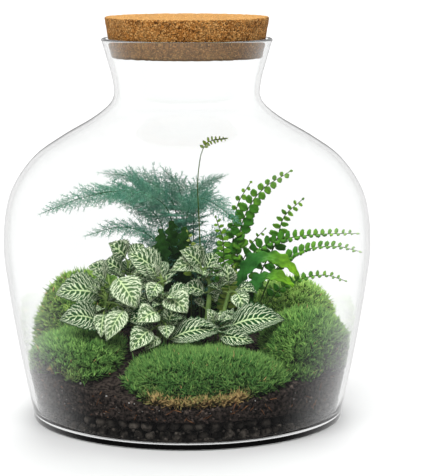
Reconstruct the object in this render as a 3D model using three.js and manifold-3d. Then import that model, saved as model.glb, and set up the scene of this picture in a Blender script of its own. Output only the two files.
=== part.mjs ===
// Planted glass terrarium: a round-bellied jar with a cork stopper, a layer of clay pebbles,
// soil, six moss cushions, nerve plants, a button fern and an asparagus fern.
// Millimetres, +Z up, the foot of the jar on Z = 0 and its axis on the Z axis.
import * as THREE from 'three';
import { mergeVertices } from 'three/addons/utils/BufferGeometryUtils.js';
import Module from 'manifold-3d';

const wasm = await Module();
wasm.setup();

// Glass jar
const SIDES = 36;
const WALL = 3;
const FLOOR_TOP = 3.6;
const PUNT = { height: 1, radius: 96 };
const FOOT = { inner: 101, outer: 117.4 };
const JAR_SIDE = [
  // outer radius and height: heel, belly, shoulder, neck and lip
  [119.7, 8], [129.0, 54], [137.0, 103], [140.0, 136], [135.0, 171], [118.0, 198],
  [96.0, 214.5], [70.0, 230], [56.2, 243], [56.0, 257], [60.5, 274], [63.9, 286],
];
const SIDE_STEPS = 12;
const LIP = { outer: 64.8, inner: 61.4, top: 289.3 };

// Cork stopper
const CORK = { bottom: 275.5, top: 305.4, bottomRadius: 57.5, topRadius: 62.1, chamfer: 1 };

// Bed
const CLEAR = 0.4;
const PEBBLES = { top: 20.4, radius: 7, height: 11.6, count: 42, reach: 107.5 };
const SOIL = { bottom: 21, middle: 65, level: 36, heapRadius: 45, slopeEnd: 118 };
const STEM = { depth: 11, sides: 5, steps: 6 };
const HOLE = { clear: 0.75, below: 0.35, height: 40, sides: 5 };

// Finest detail that a cut or a join keeps
const FINEST = 0.05;

// Leaves
const BLADE = 0.8;
const STRAP = { thickness: 1, rows: 9, stalkRows: 3, from: 0.35, wave: 0.28, turns: 3 };

const COLOURS = {
  glass: 0xe6efee, cork: 0xb9824f, clay: 0x4a4039, soil: 0x2f2621, moss: 0x5f7f2c,
  fittonia: 0x4c7a4b, fern: 0x3f8a2a, shoot: 0x9db83c, strap: 0x5d9a32, dark: 0x2c4a24,
  asparagus: 0x2f6b52,
};

const terrarium = new THREE.Group();

/** A material with a part's colour and roughness. */
function material(color, roughness) {
  return new THREE.MeshStandardMaterial({ color, roughness, metalness: 0 });
}

/** A seeded draw between 0 and 1, one stream for each seed. */
function draws(seed) {
  let state = seed * 2654435761 % 4294967296;
  return () => {
    state = (state * 1664525 + 1013904223) % 4294967296;
    return state / 4294967296;
  };
}

/** A closed geometry as a solid: shared points merged, collapsed triangles dropped. */
function solid(geometry) {
  const bare = geometry.clone();
  for (const name of ['normal', 'uv']) bare.deleteAttribute(name);
  const merged = mergeVertices(bare, 1e-4);
  const index = merged.index.array;
  const kept = [];
  for (let i = 0; i < index.length; i += 3) {
    const [a, b, c] = [index[i], index[i + 1], index[i + 2]];
    if (a !== b && b !== c && c !== a) kept.push(a, b, c);
  }
  const shape = (triangles) => new wasm.Manifold(new wasm.Mesh({
    numProp: 3,
    vertProperties: new Float32Array(merged.attributes.position.array),
    triVerts: new Uint32Array(triangles),
  }));
  const body = shape(kept);
  if (body.volume() > 0) return body;
  const turned = [];
  for (let i = 0; i < kept.length; i += 3) turned.push(kept[i], kept[i + 2], kept[i + 1]);
  return shape(turned);
}

/** Several solids joined in one. */
function join(solids) {
  return wasm.Manifold.union(solids);
}

/** The largest of a solid's separate pieces, without the loose scraps of a cut. */
function largest(body) {
  const pieces = body.decompose();
  return pieces.reduce((best, piece) => (piece.volume() > best.volume() ? piece : best));
}

/** A solid without the slivers of its cuts and joins: the ends of each short edge are drawn together. */
function cleaned(body) {
  const { vertProperties: spots, triVerts: corners } = body.simplify(FINEST).getMesh();
  const leader = Array.from({ length: spots.length / 3 }, (_, index) => index);
  const lead = (index) => (leader[index] === index ? index : lead(leader[index]));
  const apart = (a, b) => Math.hypot(...[0, 1, 2].map((axis) => spots[3 * a + axis] - spots[3 * b + axis]));
  for (let i = 0; i < corners.length; i += 1) {
    const next = i % 3 === 2 ? i - 2 : i + 1;
    const [a, b] = [lead(corners[i]), lead(corners[next])];
    if (a !== b && apart(a, b) < FINEST) leader[b] = a;
  }
  const geometry = new THREE.BufferGeometry();
  geometry.setAttribute('position', new THREE.BufferAttribute(spots, 3));
  geometry.setIndex(Array.from(corners, lead));
  return solid(geometry).simplify(FINEST);
}

/** Adds a solid to the terrarium as a named mesh. */
function place(name, body, color, roughness) {
  const mesh = cleaned(body).getMesh();
  const geometry = new THREE.BufferGeometry();
  geometry.setAttribute('position', new THREE.BufferAttribute(mesh.vertProperties, 3));
  geometry.setIndex(new THREE.BufferAttribute(mesh.triVerts, 1));
  geometry.computeVertexNormals();
  const part = new THREE.Mesh(geometry, material(color, roughness));
  part.name = name;
  terrarium.add(part);
}

/** A solid turned round the Z axis from points of radius and height. */
function turned(points) {
  const profile = points.map(([radius, height]) => new THREE.Vector2(radius, height));
  return solid(new THREE.LatheGeometry(profile, SIDES).rotateX(Math.PI / 2));
}

/** The jar's wall: outer and inner points from the heel up to the lip. */
function jarWall() {
  const curve = new THREE.SplineCurve(JAR_SIDE.map(([r, z]) => new THREE.Vector2(r, z)));
  const outer = [];
  const inner = [];
  for (let i = 0; i <= SIDE_STEPS; i += 1) {
    const share = (i / SIDE_STEPS) ** 0.78;
    const point = curve.getPointAt(share);
    const tangent = curve.getTangentAt(share);
    outer.push([point.x, point.y]);
    inner.push([point.x - WALL * tangent.y, point.y + WALL * tangent.x]);
  }
  return { outer, inner };
}

const wall = jarWall();
const innerSide = [
  [0, FLOOR_TOP], [112.5, FLOOR_TOP], [115.6, FLOOR_TOP + 1.8], [116.8, FLOOR_TOP + 6],
  ...wall.inner.slice(1), [LIP.inner, LIP.top - 1.6],
];

/** The jar's inner radius at a height, on its flat-sided profile. */
function innerRadius(height) {
  for (let i = 1; i < innerSide.length; i += 1) {
    const [r0, z0] = innerSide[i - 1];
    const [r1, z1] = innerSide[i];
    if (height > z0 && height <= z1) return r0 + (r1 - r0) * (height - z0) / (z1 - z0);
  }
  return 0;
}

/** The glass jar: foot ring, wall of even thickness and a rounded lip. */
function addJar() {
  const foot = [
    [0, PUNT.height], [PUNT.radius, PUNT.height], [FOOT.inner, 0], [FOOT.outer, 0],
    [118.9, 0.7], [119.4, 4],
  ];
  const lip = [
    [LIP.outer, LIP.top - 1.6], [LIP.outer - 0.9, LIP.top - 0.2], [LIP.inner + 1, LIP.top],
  ];
  const profile = [...foot, ...wall.outer, ...lip, ...innerSide.slice().reverse()];
  place('glass_jar', turned(profile), COLOURS.glass, 0.05);
}

/** The tapered cork, its lower edge just inside the neck. */
function addCork() {
  const { bottom, top, bottomRadius, topRadius, chamfer } = CORK;
  place('cork_stopper', turned([
    [0, bottom], [bottomRadius - chamfer, bottom], [bottomRadius, bottom + chamfer],
    [topRadius, top - chamfer], [topRadius - chamfer, top], [0, top],
  ]), COLOURS.cork, 0.9);
}

/** Everything inside the jar up to a height, a little clear of the glass. */
function jarSpace(top) {
  const points = innerSide.filter(([, z]) => z < top).map(([r, z]) => [Math.max(r - CLEAR, 0), z]);
  points[0][1] += CLEAR;
  points[1][1] += CLEAR;
  points.push([innerRadius(top) - CLEAR, top], [0, top]);
  return turned(points);
}

/** Clay pebbles: a core with a row of pebbles fused round it at the glass. */
function addPebbles() {
  const random = draws(11);
  const { top, radius, height, count, reach } = PEBBLES;
  const pieces = [turned([
    [0, FLOOR_TOP + CLEAR], [reach - 1, FLOOR_TOP + CLEAR], [reach - 1, top], [0, top],
  ])];
  for (let i = 0; i < count; i += 1) {
    const angle = (i + 0.2 * random()) * 2 * Math.PI / count;
    const stone = new THREE.OctahedronGeometry(radius * (1 - 0.1 * random()), 0);
    stone.rotateX(6 * random()).rotateZ(6 * random());
    stone.translate(reach * Math.cos(angle), reach * Math.sin(angle), height);
    pieces.push(solid(stone));
  }
  place('drainage_pebbles', join(pieces), COLOURS.clay, 0.8);
}

/** Height of the smooth soil heap: low at the glass in front, higher at the back. */
function soilHeight(x, y) {
  const radius = Math.hypot(x, y);
  const angle = Math.atan2(y, x);
  const front = Math.max(0, -Math.sin(angle));
  const back = Math.max(0, Math.sin(angle));
  const edge = SOIL.level + 4.5 * (1 - Math.cos(4 * angle)) - 6 * front ** 4 + 10 * back;
  const share = (radius - SOIL.heapRadius) / (SOIL.slopeEnd - SOIL.heapRadius);
  const eased = THREE.MathUtils.smoothstep(share, 0, 1);
  return SOIL.middle + (edge - SOIL.middle) * eased;
}

/** Closed solid over a round outline: rings of top points, a side wall and a plain bottom. */
function heap(sides, rings, topPoint, bottomPoint) {
  const points = [topPoint(0, 0), bottomPoint(0, 0)];
  const faces = [];
  const last = rings.length - 1;
  const at = (ring, side) => 2 + ring * sides + side % sides;
  rings.forEach((ring, row) => {
    for (let side = 0; side < sides; side += 1) {
      points.push(topPoint(ring, (side / sides) * 2 * Math.PI - Math.PI / 2));
      if (row === 0) {
        faces.push([0, at(0, side), at(0, side + 1)]);
      } else {
        const [a, b, c, d] = [at(row - 1, side), at(row - 1, side + 1), at(row, side), at(row, side + 1)];
        faces.push([a, c, d], [a, d, b]);
      }
    }
  });
  for (let side = 0; side < sides; side += 1) {
    points.push(bottomPoint(1, (side / sides) * 2 * Math.PI - Math.PI / 2));
    const [a, b, c, d] = [at(last, side), at(last, side + 1), at(last + 1, side), at(last + 1, side + 1)];
    faces.push([a, c, d], [a, d, b], [1, d, c]);
  }
  const geometry = new THREE.BufferGeometry();
  geometry.setAttribute('position', new THREE.Float32BufferAttribute(points.flat(), 3));
  geometry.setIndex(faces.flat());
  return solid(geometry);
}

/** The soil heap without its stem holes. */
function soilHeap() {
  const rings = [0.38, 0.56, 0.72, 0.87, 1];
  const wallGap = 0.5;
  const top = (share, angle) => {
    const edge = soilHeight(120 * Math.cos(angle), 120 * Math.sin(angle));
    const reach = share * (innerRadius(edge) - wallGap);
    const [x, y] = [reach * Math.cos(angle), reach * Math.sin(angle)];
    return [x, y, share === 1 ? edge : soilHeight(x, y)];
  };
  const bottom = (share, angle) => {
    const reach = share * (innerRadius(SOIL.bottom) - wallGap);
    return [reach * Math.cos(angle), reach * Math.sin(angle), SOIL.bottom];
  };
  return heap(SIDES, rings, top, bottom);
}

const plainSoil = soilHeap();
const soilCutter = plainSoil.scale([1.004, 1.004, 1]).translate([0, 0, 0.3]);
const holes = [];

/** Start of a stem in its own plain hole: three points, from its foot to above the soil. */
function foot(x, y, radius) {
  const height = soilHeight(x, y);
  const reach = (radius + HOLE.clear) / Math.cos(Math.PI / HOLE.sides);
  const hole = new THREE.CylinderGeometry(reach, reach, HOLE.height, HOLE.sides);
  hole.rotateX(Math.PI / 2);
  hole.translate(x, y, height - STEM.depth - HOLE.below + HOLE.height / 2);
  holes.push(solid(hole));
  return [[x, y, height - STEM.depth], [x, y, height - STEM.depth / 2], [x, y, height + 3]];
}

/** A moss cushion: a steep-sided mound up to its crest, cut to the soil below it. */
function mossCushion({ centre, reach, crest, seed }) {
  const random = draws(seed);
  const phases = [6 * random(), 6 * random(), 6 * random()];
  const rings = [0.4, 0.7, 0.92, 1];
  const rim = 3;
  const spot = (share, angle) => {
    const wave = 1 + 0.045 * Math.sin(3 * angle + phases[0]) + 0.03 * Math.sin(5 * angle + phases[1]);
    return [
      centre[0] + share * wave * reach[0] * Math.cos(angle),
      centre[1] + share * wave * reach[1] * Math.sin(angle),
    ];
  };
  const top = (share, angle) => {
    const [x, y] = spot(share, angle);
    const tufts = 1.2 * Math.sin(0.27 * x + phases[2]) * Math.sin(0.31 * y + phases[0]);
    const dome = (1 - share ** 2.6) ** 0.55;
    const edge = soilHeight(x, y) + rim;
    return [x, y, edge + (crest - edge) * dome + tufts * (1 - share ** 4)];
  };
  const bottom = (share, angle) => {
    const [x, y] = spot(share * 0.97, angle);
    return [x, y, share ? soilHeight(x, y) - 8 : SOIL.bottom + 5];
  };
  return heap(16, rings, top, bottom).subtract(soilCutter).intersect(jarSpace(150));
}

/** The six moss cushions, each cut clear of the ones before it. */
function addMoss() {
  const cushions = {
    moss_front: { centre: [12, -86], reach: [59, 31], crest: 67, seed: 3 },
    moss_left: { centre: [-84, -50], reach: [37, 39], crest: 75, seed: 5 },
    moss_right: { centre: [89, -41], reach: [36, 43], crest: 89, seed: 7 },
    moss_back_left: { centre: [-81, 38], reach: [43, 41], crest: 105, seed: 9 },
    moss_back_right: { centre: [82, 44], reach: [41, 37], crest: 97, seed: 13 },
    moss_back: { centre: [2, 85], reach: [44, 30], crest: 98, seed: 15 },
  };
  const before = [];
  for (const [name, cushion] of Object.entries(cushions)) {
    let body = mossCushion(cushion);
    for (const grown of before) body = body.subtract(grown);
    const reach = cushion.reach.map((r) => r + 0.7);
    const larger = mossCushion({ ...cushion, reach, crest: cushion.crest + 40 });
    before.push(larger.translate([0, 0, -6]).add(larger));
    place(name, largest(body), COLOURS.moss, 1);
  }
}

/** A round stem along points. */
function stem(points, radius) {
  const curve = new THREE.CatmullRomCurve3(points.map((p) => new THREE.Vector3(...p)));
  const section = new THREE.Shape();
  for (let i = 0; i < STEM.sides; i += 1) {
    const angle = (i / STEM.sides) * 2 * Math.PI;
    const [x, y] = [radius * Math.cos(angle), radius * Math.sin(angle)];
    if (i === 0) section.moveTo(x, y);
    else section.lineTo(x, y);
  }
  return solid(new THREE.ExtrudeGeometry(section, { steps: STEM.steps, extrudePath: curve }));
}

/** A thin blade from a grid of points on its middle surface, with a normal at each row. */
function blade(rows, thickness) {
  const points = [];
  const starts = [];
  for (const { spots, normal } of rows) {
    starts.push(points.length);
    for (const spot of spots) {
      points.push(spot.clone().addScaledVector(normal, thickness / 2));
      points.push(spot.clone().addScaledVector(normal, -thickness / 2));
    }
  }
  const faces = [];
  const skin = (a, b, c) => faces.push([a, b, c], [a + 1, c + 1, b + 1]);
  const edge = (a, b) => faces.push([b, a, a + 1], [b, a + 1, b + 1]);
  for (let row = 1; row < rows.length; row += 1) {
    const [s0, s1] = [starts[row - 1], starts[row]];
    const [n0, n1] = [rows[row - 1].spots.length, rows[row].spots.length];
    for (let i = 1; i < Math.max(n0, n1); i += 1) {
      if (n1 > 1) skin(n0 > 1 ? s0 + 2 * i - 2 : s0, s1 + 2 * i - 2, s1 + 2 * i);
      if (n0 > 1) skin(s0 + 2 * i - 2, n1 > 1 ? s1 + 2 * i : s1, s0 + 2 * i);
    }
    edge(s0, s1);
    edge(s1 + 2 * (n1 - 1), s0 + 2 * (n0 - 1));
  }
  const end = starts[rows.length - 1];
  for (let i = 1; i < rows[0].spots.length; i += 1) edge(2 * i, 2 * i - 2);
  for (let i = 1; i < rows[rows.length - 1].spots.length; i += 1) edge(end + 2 * i - 2, end + 2 * i);
  const geometry = new THREE.BufferGeometry();
  geometry.setAttribute('position', new THREE.Float32BufferAttribute(
    points.flatMap((p) => [p.x, p.y, p.z]), 3));
  geometry.setIndex(faces.flat());
  return solid(geometry);
}

/**
 * An oval leaf on a thin stalk, in one blade: from a root inside the stem to the leaf's base
 * and its tip. It faces up and forward by default; facing is where its upper side looks.
 */
function ovalLeaf(root, base, tip, width, facing = [0, -0.77, 0.64], arch = 0.16) {
  const along = tip.clone().sub(base);
  const length = along.length();
  along.normalize();
  const side = along.clone().cross(new THREE.Vector3(...facing)).normalize();
  const normal = side.clone().cross(along).normalize();
  const stalk = 0.6;
  const across = (middle, half, lift) => [-1, 0, 1].map((hand) => middle.clone()
    .addScaledVector(side, hand * half).addScaledVector(normal, Math.abs(hand) * lift));
  const rows = [{ spots: across(root, stalk, 0), normal }, { spots: across(base, stalk, 0), normal }];
  [[0.2, 0.42, 0.16], [0.5, 0.5, 0.28], [0.8, 0.28, 0.14]].forEach(([share, half, lift]) => {
    const middle = base.clone().addScaledVector(along, share * length);
    middle.addScaledVector(normal, 4 * arch * length * share * (1 - share));
    rows.push({ spots: across(middle, half * width, lift * half * width), normal });
  });
  rows.push({ spots: [tip], normal });
  return blade(rows, BLADE);
}

/** A leafy stem: one stem, and oval leaves on thin stalks that start on it. */
function addLeafyStem(name, { at, radius, points, leaves }) {
  const path = [...foot(...at, radius), ...points];
  const curve = new THREE.CatmullRomCurve3(path.map((p) => new THREE.Vector3(...p)));
  const pieces = [stem(path, radius)];
  const stations = curve.getSpacedPoints(STEM.steps);
  const [end, beforeEnd] = [stations[STEM.steps], stations[STEM.steps - 1]];
  const lowest = soilHeight(...at) + 3;
  for (const [base, tip, width, options = {}] of leaves) {
    const origin = new THREE.Vector3(...base);
    let root = end.clone().lerp(beforeEnd, 0.08);
    for (let i = 1; i <= STEM.steps; i += 1) {
      const spot = new THREE.Vector3();
      new THREE.Line3(stations[i - 1], stations[i]).closestPointToPoint(origin, true, spot);
      if (i === STEM.steps) spot.lerp(beforeEnd, 0.08);
      if (spot.z > lowest && spot.distanceTo(origin) < root.distanceTo(origin)) root = spot;
    }
    const { facing, arch } = options;
    pieces.push(ovalLeaf(root, origin, new THREE.Vector3(...tip), width, facing, arch));
  }
  place(name, join(pieces), COLOURS.fittonia, 0.6);
}

const LEFT = [-0.6, -0.5, 0.62];
const UP = [0, -0.35, 0.94];
const BEHIND = [0, 0.6, 0.8];
const AHEAD = [0, -0.9, 0.44];

/** The nerve plants. Each leaf is its base, tip and width. */
function addFittonia() {
  addLeafyStem('fittonia_left', {
    at: [-52, -24], radius: 1.3,
    points: [[-57, -32.5, 82], [-61, -41, 92], [-58, -41, 106]],
    leaves: [
      [[-66, -35, 100], [-97, -45, 102], 27],
      [[-65, -50, 81], [-92, -67, 89], 26],
      [[-52, -44, 113], [-38, -58, 94], 24],
      [[-60, -32, 114], [-73, -37, 122], 14, { facing: LEFT }],
      [[-61, -44, 111], [-69, -56, 119], 14],
      [[-47, -56, 91], [-58, -74, 73], 16],
      [[-62, -55, 88], [-64, -70, 75], 13],
      [[-64, -30, 96], [-86, -16, 97], 22, { facing: LEFT }],
    ],
  });
  addLeafyStem('fittonia_top', {
    at: [-40, -10], radius: 1.2,
    points: [[-44, -20, 96], [-45, -22, 121]],
    leaves: [
      [[-47, -22, 125], [-58, -28, 137], 18],
      [[-42, -20, 122], [-33, -14, 134], 15],
      [[-49, -20, 114], [-63, -10, 121], 17, { facing: LEFT }],
      [[-44, -14, 104], [-50, 8, 104], 20, { facing: BEHIND }],
    ],
  });
  addLeafyStem('fittonia_middle', {
    at: [-22, -34], radius: 1.3,
    points: [[-19, -38, 92], [-19, -36, 111]],
    leaves: [
      [[-21, -32, 114], [-44, -34, 130], 24],
      [[-23, -36, 112], [-31, -42, 123], 12],
      [[-22, -43, 109], [-28, -55, 98], 13],
      [[-16, -29, 108], [-15, -8, 113], 18, { facing: BEHIND }],
      [[-15, -37, 97], [6, -35, 102], 16, { facing: UP }],
    ],
  });
  addLeafyStem('fittonia_front', {
    at: [-17, -48], radius: 1.5,
    points: [[-17, -50, 80], [-18, -48, 100]],
    leaves: [
      [[-15, -50, 101], [-1, -62, 91], 21],
      [[-14, -53, 80], [-8, -59, 96], 14],
      [[-22, -57, 90], [-36, -68, 85], 18],
      [[-16, -57, 80], [-15, -67, 73], 12],
      [[-13, -55, 69], [26, -58, 78], 20],
      [[-27, -60, 77], [-42, -75, 66], 17],
      [[-20, -60, 71], [-31, -69, 64], 9],
      [[-25, -49, 86], [-43, -52, 83], 18],
    ],
  });
  addLeafyStem('fittonia_right', {
    at: [21, -45], radius: 1.2,
    points: [[21, -47, 72], [21, -50, 78]],
    leaves: [
      [[30, -50, 77], [71, -58, 84], 25, { arch: 0.06 }],
      [[24, -59, 72], [48, -69, 70], 14, { facing: AHEAD }],
      [[20, -48, 80], [15, -50, 91], 9],
    ],
  });
  addLeafyStem('fittonia_centre', {
    at: [14, -26], radius: 2.2,
    points: [[16, -23, 90], [17, -19, 104], [11, -14, 115]],
    leaves: [
      [[10, -12, 117], [-4, -22, 131], 20],
      [[7, -12, 117], [-12, -24, 117], 14],
      [[12, -15, 114], [12, -23, 108], 9],
      [[13, -22, 98], [-3, -22, 103], 14],
      [[20, -20, 92], [24, -26, 101], 8],
    ],
  });
  addLeafyStem('fittonia_centre_right', {
    at: [26, -30], radius: 1.9,
    points: [[28, -26, 86], [32, -21, 99]],
    leaves: [
      [[31, -22, 104], [30, -25, 121], 13],
      [[37, -30, 99], [43, -42, 88], 14],
      [[24, -36, 86], [28, -46, 78], 10],
      [[36, -18, 98], [52, -24, 99], 16, { facing: UP }],
    ],
  });
}

/**
 * A frond in one piece: a thin rib along points, and side blades cut to it in pairs. They run
 * from a share of its length to its tip. outline gives a side blade's rim as rows of how far
 * ahead, how far out and how high each point lies.
 */
function ribbedBlade({ path, facing, from, pairs, outline, rootWidth, lift = 0, rib = 0.75 }) {
  const curve = new THREE.CatmullRomCurve3(path.map((p) => new THREE.Vector3(...p)));
  curve.arcLengthDivisions = 400;
  const total = curve.getLength();
  const face = new THREE.Vector3(...facing);
  const ribHalf = (share) => rib * (1 - 0.4 * share);
  const halfThick = (share) => (share < from ? 0.6 : 0.36);
  const points = [];
  const faces = [];
  const put = (share, ahead, out, high = 0) => {
    const tangent = curve.getTangentAt(share);
    const side = tangent.clone().cross(face).normalize();
    const normal = side.clone().cross(tangent);
    const middle = curve.getPointAt(share).addScaledVector(tangent, ahead);
    middle.addScaledVector(side, out).addScaledVector(normal, lift * Math.abs(out) + high);
    points.push(middle.clone().addScaledVector(normal, halfThick(share)));
    points.push(middle.clone().addScaledVector(normal, -halfThick(share)));
    return points.length - 2;
  };
  const skin = (a, b, c) => faces.push([a, b, c], [a + 1, c + 1, b + 1]);
  const edge = (a, b) => faces.push([b, a, a + 1], [b, a + 1, b + 1]);
  const crossPiece = (share) => ({
    left: put(share, 0, -ribHalf(share)), right: put(share, 0, ribHalf(share)),
  });
  const ribStep = (a, b, open) => {
    skin(a.left, b.right, a.right);
    skin(a.left, b.left, b.right);
    if (open) return;
    edge(a.left, b.left);
    edge(b.right, a.right);
  };
  const stalkSteps = 3;
  let last = crossPiece(0);
  edge(last.right, last.left);
  for (let i = 1; i <= stalkSteps; i += 1) {
    const next = crossPiece(from * i / stalkSteps);
    ribStep(last, next);
    last = next;
  }
  const step = (1 - from) / (pairs + 0.6);
  const rootShare = rootWidth / total;
  for (let pair = 0; pair < pairs; pair += 1) {
    const middle = from + (pair + 0.5) * step;
    const first = crossPiece(middle - rootShare / 2);
    const second = crossPiece(middle + rootShare / 2);
    ribStep(last, first);
    ribStep(first, second, true);
    for (const hand of [-1, 1]) {
      const rim = outline((pair + 0.5) / pairs, step * total);
      const flat = [[-rootWidth / 2, 0], ...rim, [rootWidth / 2, 0]];
      const contour = flat.map(([ahead, out]) => new THREE.Vector2(ahead, out));
      const roots = hand < 0 ? [first.left, second.left] : [first.right, second.right];
      const ring = [roots[0], ...rim.map(([ahead, out, high]) => put(
        middle, ahead, hand * (ribHalf(middle) + out), high)), roots[1]];
      const way = hand < 0 ? 1 : -1;
      const area = THREE.ShapeUtils.area(contour);
      for (const [a, b, c] of THREE.ShapeUtils.triangulateShape(contour.slice(), [])) {
        const same = THREE.ShapeUtils.area([contour[a], contour[b], contour[c]]) * area * way > 0;
        if (same) skin(ring[a], ring[b], ring[c]);
        else skin(ring[a], ring[c], ring[b]);
      }
      for (let i = 1; i < ring.length; i += 1) {
        if (hand < 0) edge(ring[i - 1], ring[i]);
        else edge(ring[i], ring[i - 1]);
      }
    }
    last = second;
  }
  const tip = put(1, 0, 0);
  skin(last.left, tip, last.right);
  edge(last.left, tip);
  edge(tip, last.right);
  const geometry = new THREE.BufferGeometry();
  geometry.setAttribute('position', new THREE.Float32BufferAttribute(
    points.flatMap((p) => [p.x, p.y, p.z]), 3));
  geometry.setIndex(faces.flat());
  return solid(geometry);
}

/** A fern frond: leaflets in pairs, smaller towards the tip. */
function fernFrond({ leaflet, round = false, lift = 0.15, ...rest }) {
  const lean = 0.2;
  const form = round
    ? [[-0.4, 0.6], [-0.05, 1], [0.36, 0.62]]
    : [[-0.3, 0.55], [0.08, 1], [0.32, 0.5]];
  const outline = (along, room) => {
    const length = leaflet * (1 - 0.62 * along ** 1.6);
    return form.map(([ahead, out]) => [ahead * room * 0.96 + lean * out * length, out * length]);
  };
  return ribbedBlade({ outline, rootWidth: 2, lift, ...rest });
}

const SPRAY_FACE = [0, -0.6, 0.8];

/** An asparagus fern spray: branchlets in pairs, each with a needle before and behind its tip. */
function asparagusSpray({ reach, seed, ...rest }) {
  const random = draws(seed);
  const needle = { root: 1.1, length: 4.2 };
  const outline = (along) => {
    const taper = (1 - along) ** 0.75 * Math.min(1, 0.6 + 2.5 * along);
    const length = reach * (0.14 + taper) * (0.85 + 0.3 * random());
    const sweep = 0.75 + 0.2 * random();
    const spot = (on, off, high) => [
      on * Math.cos(sweep) + off * Math.sin(sweep), on * Math.sin(sweep) - off * Math.cos(sweep), high,
    ];
    const mid = length * 0.5;
    return [
      spot(mid, -needle.length, 1.6), spot(mid + needle.root, -0.35, 0),
      spot(length, 0, 1.2 * (random() - 0.5)),
      spot(mid + needle.root + 1, 0.35, 0), spot(mid + 2.4, needle.length, -1.4),
    ];
  };
  return ribbedBlade({ outline, rootWidth: 1.5, facing: SPRAY_FACE, rib: 0.65, ...rest });
}

const FRONT_UP = [0, -0.9, 0.44];
const OVER = [0, -0.5, 0.87];

/** The button fern's fronds, the small new ones and the long new shoot. */
function addFerns() {
  const fronds = {
    fern_frond_tall: {
      at: [37, 6], path: [[40, 2, 139], [48, -4, 163], [59, -10, 177], [77, -18, 190]],
      facing: FRONT_UP, from: 0.55, pairs: 10, leaflet: 7.6, round: true,
    },
    fern_frond_inner: {
      at: [33, 12], path: [[36, 10, 143], [39, 4, 163], [48, 0, 179]],
      facing: FRONT_UP, from: 0.5, pairs: 7, leaflet: 7, round: true,
    },
    fern_frond_upper: {
      at: [45, 16], path: [[58, 22, 107], [69, 19, 130], [75, 15, 151], [88, 8, 165]],
      facing: FRONT_UP, from: 0.45, pairs: 10, leaflet: 8,
    },
    fern_frond_long: {
      at: [41, 16], path: [[46, 15, 115], [57, 13, 127], [79, 9, 135], [105, 2, 139], [129, -8, 141]],
      facing: OVER, from: 0.42, pairs: 13, leaflet: 8.5, lift: 0.5,
    },
    fern_frond_right: {
      at: [51, 2], path: [[66, 5, 108], [79, 0, 121], [95, -10, 130], [115, -22, 133], [128, -31, 131]],
      facing: OVER, from: 0.42, pairs: 11, leaflet: 8, lift: 0.5,
    },
    fern_frond_low: {
      at: [50, -8], path: [[71, -3, 97], [88, -8, 106], [105, -15, 110], [119, -21, 107]],
      facing: OVER, from: 0.4, pairs: 9, leaflet: 7, lift: 0.5,
    },
    fern_frond_middle: {
      at: [27, 6], path: [[28, 0, 100], [28, -4, 118], [27, -6, 136], [22, -8, 153]],
      facing: FRONT_UP, from: 0.4, pairs: 10, leaflet: 8,
    },
    fern_frond_small: {
      at: [40, 24], path: [[42, 24, 110], [50, 22, 128], [60, 20, 140]],
      facing: FRONT_UP, from: 0.5, pairs: 5, leaflet: 6.5,
    },
    fern_frond_new: {
      at: [30, -8], path: [[31, -8, 90], [32, -10, 102], [35, -14, 115]],
      facing: FRONT_UP, from: 0.45, pairs: 5, leaflet: 6,
    },
    fern_frond_back: {
      at: [30, 22], path: [[26, 34, 112], [30, 48, 132], [38, 60, 142]],
      facing: [0, 0.8, 0.6], from: 0.42, pairs: 7, leaflet: 8.5,
    },
  };
  for (const [name, { at, path, ...rest }] of Object.entries(fronds)) {
    const whole = [...foot(...at, 1), ...path];
    place(name, fernFrond({ path: whole, ...rest }), COLOURS.fern, 0.55);
  }
  const chain = [...foot(3, -1, 1), [3, -3, 117], [3, -4, 131], [0, -6, 142]];
  place('fern_chain', fernFrond({
    path: chain, facing: FRONT_UP, from: 0.6, pairs: 4, leaflet: 5,
  }), COLOURS.shoot, 0.55);
  const shoot = [
    ...foot(9, -7, 1), [10, -8, 115], [9, -9, 150], [8, -9, 182], [10, -8, 199], [15, -8, 210],
    [30, -10, 213],
  ];
  place('fern_shoot', fernFrond({
    path: shoot, facing: FRONT_UP, from: 0.88, pairs: 5, leaflet: 3.2,
  }), COLOURS.shoot, 0.55);
}

/** A strap leaf with waved edges along points, narrow at its foot. */
function strapLeaf({ path, facing, width }) {
  const { thickness, rows, stalkRows, from, wave, turns } = STRAP;
  const curve = new THREE.CatmullRomCurve3(path.map((p) => new THREE.Vector3(...p)));
  const face = new THREE.Vector3(...facing);
  const list = [];
  for (let i = 0; i <= rows + stalkRows; i += 1) {
    const stalk = i < stalkRows;
    const share = stalk ? from * i / stalkRows : from + (1 - from) * (i - stalkRows) / rows;
    const along = (share - from) / (1 - from);
    const tangent = curve.getTangentAt(share);
    const side = tangent.clone().cross(face).normalize();
    const normal = side.clone().cross(tangent).normalize();
    const swell = stalk ? 0 : Math.sin(Math.PI * Math.min(0.97, 0.1 + 0.87 * along)) ** 0.6;
    const half = Math.max(0.7, width / 2 * swell);
    const lift = stalk ? 0 : wave * half * Math.sin(turns * 2 * Math.PI * along);
    const middle = curve.getPointAt(share);
    list.push({
      normal,
      spots: [
        middle.clone().addScaledVector(side, -half).addScaledVector(normal, lift),
        middle,
        middle.clone().addScaledVector(side, half).addScaledVector(normal, -lift),
      ],
    });
  }
  return blade(list, thickness);
}

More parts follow.
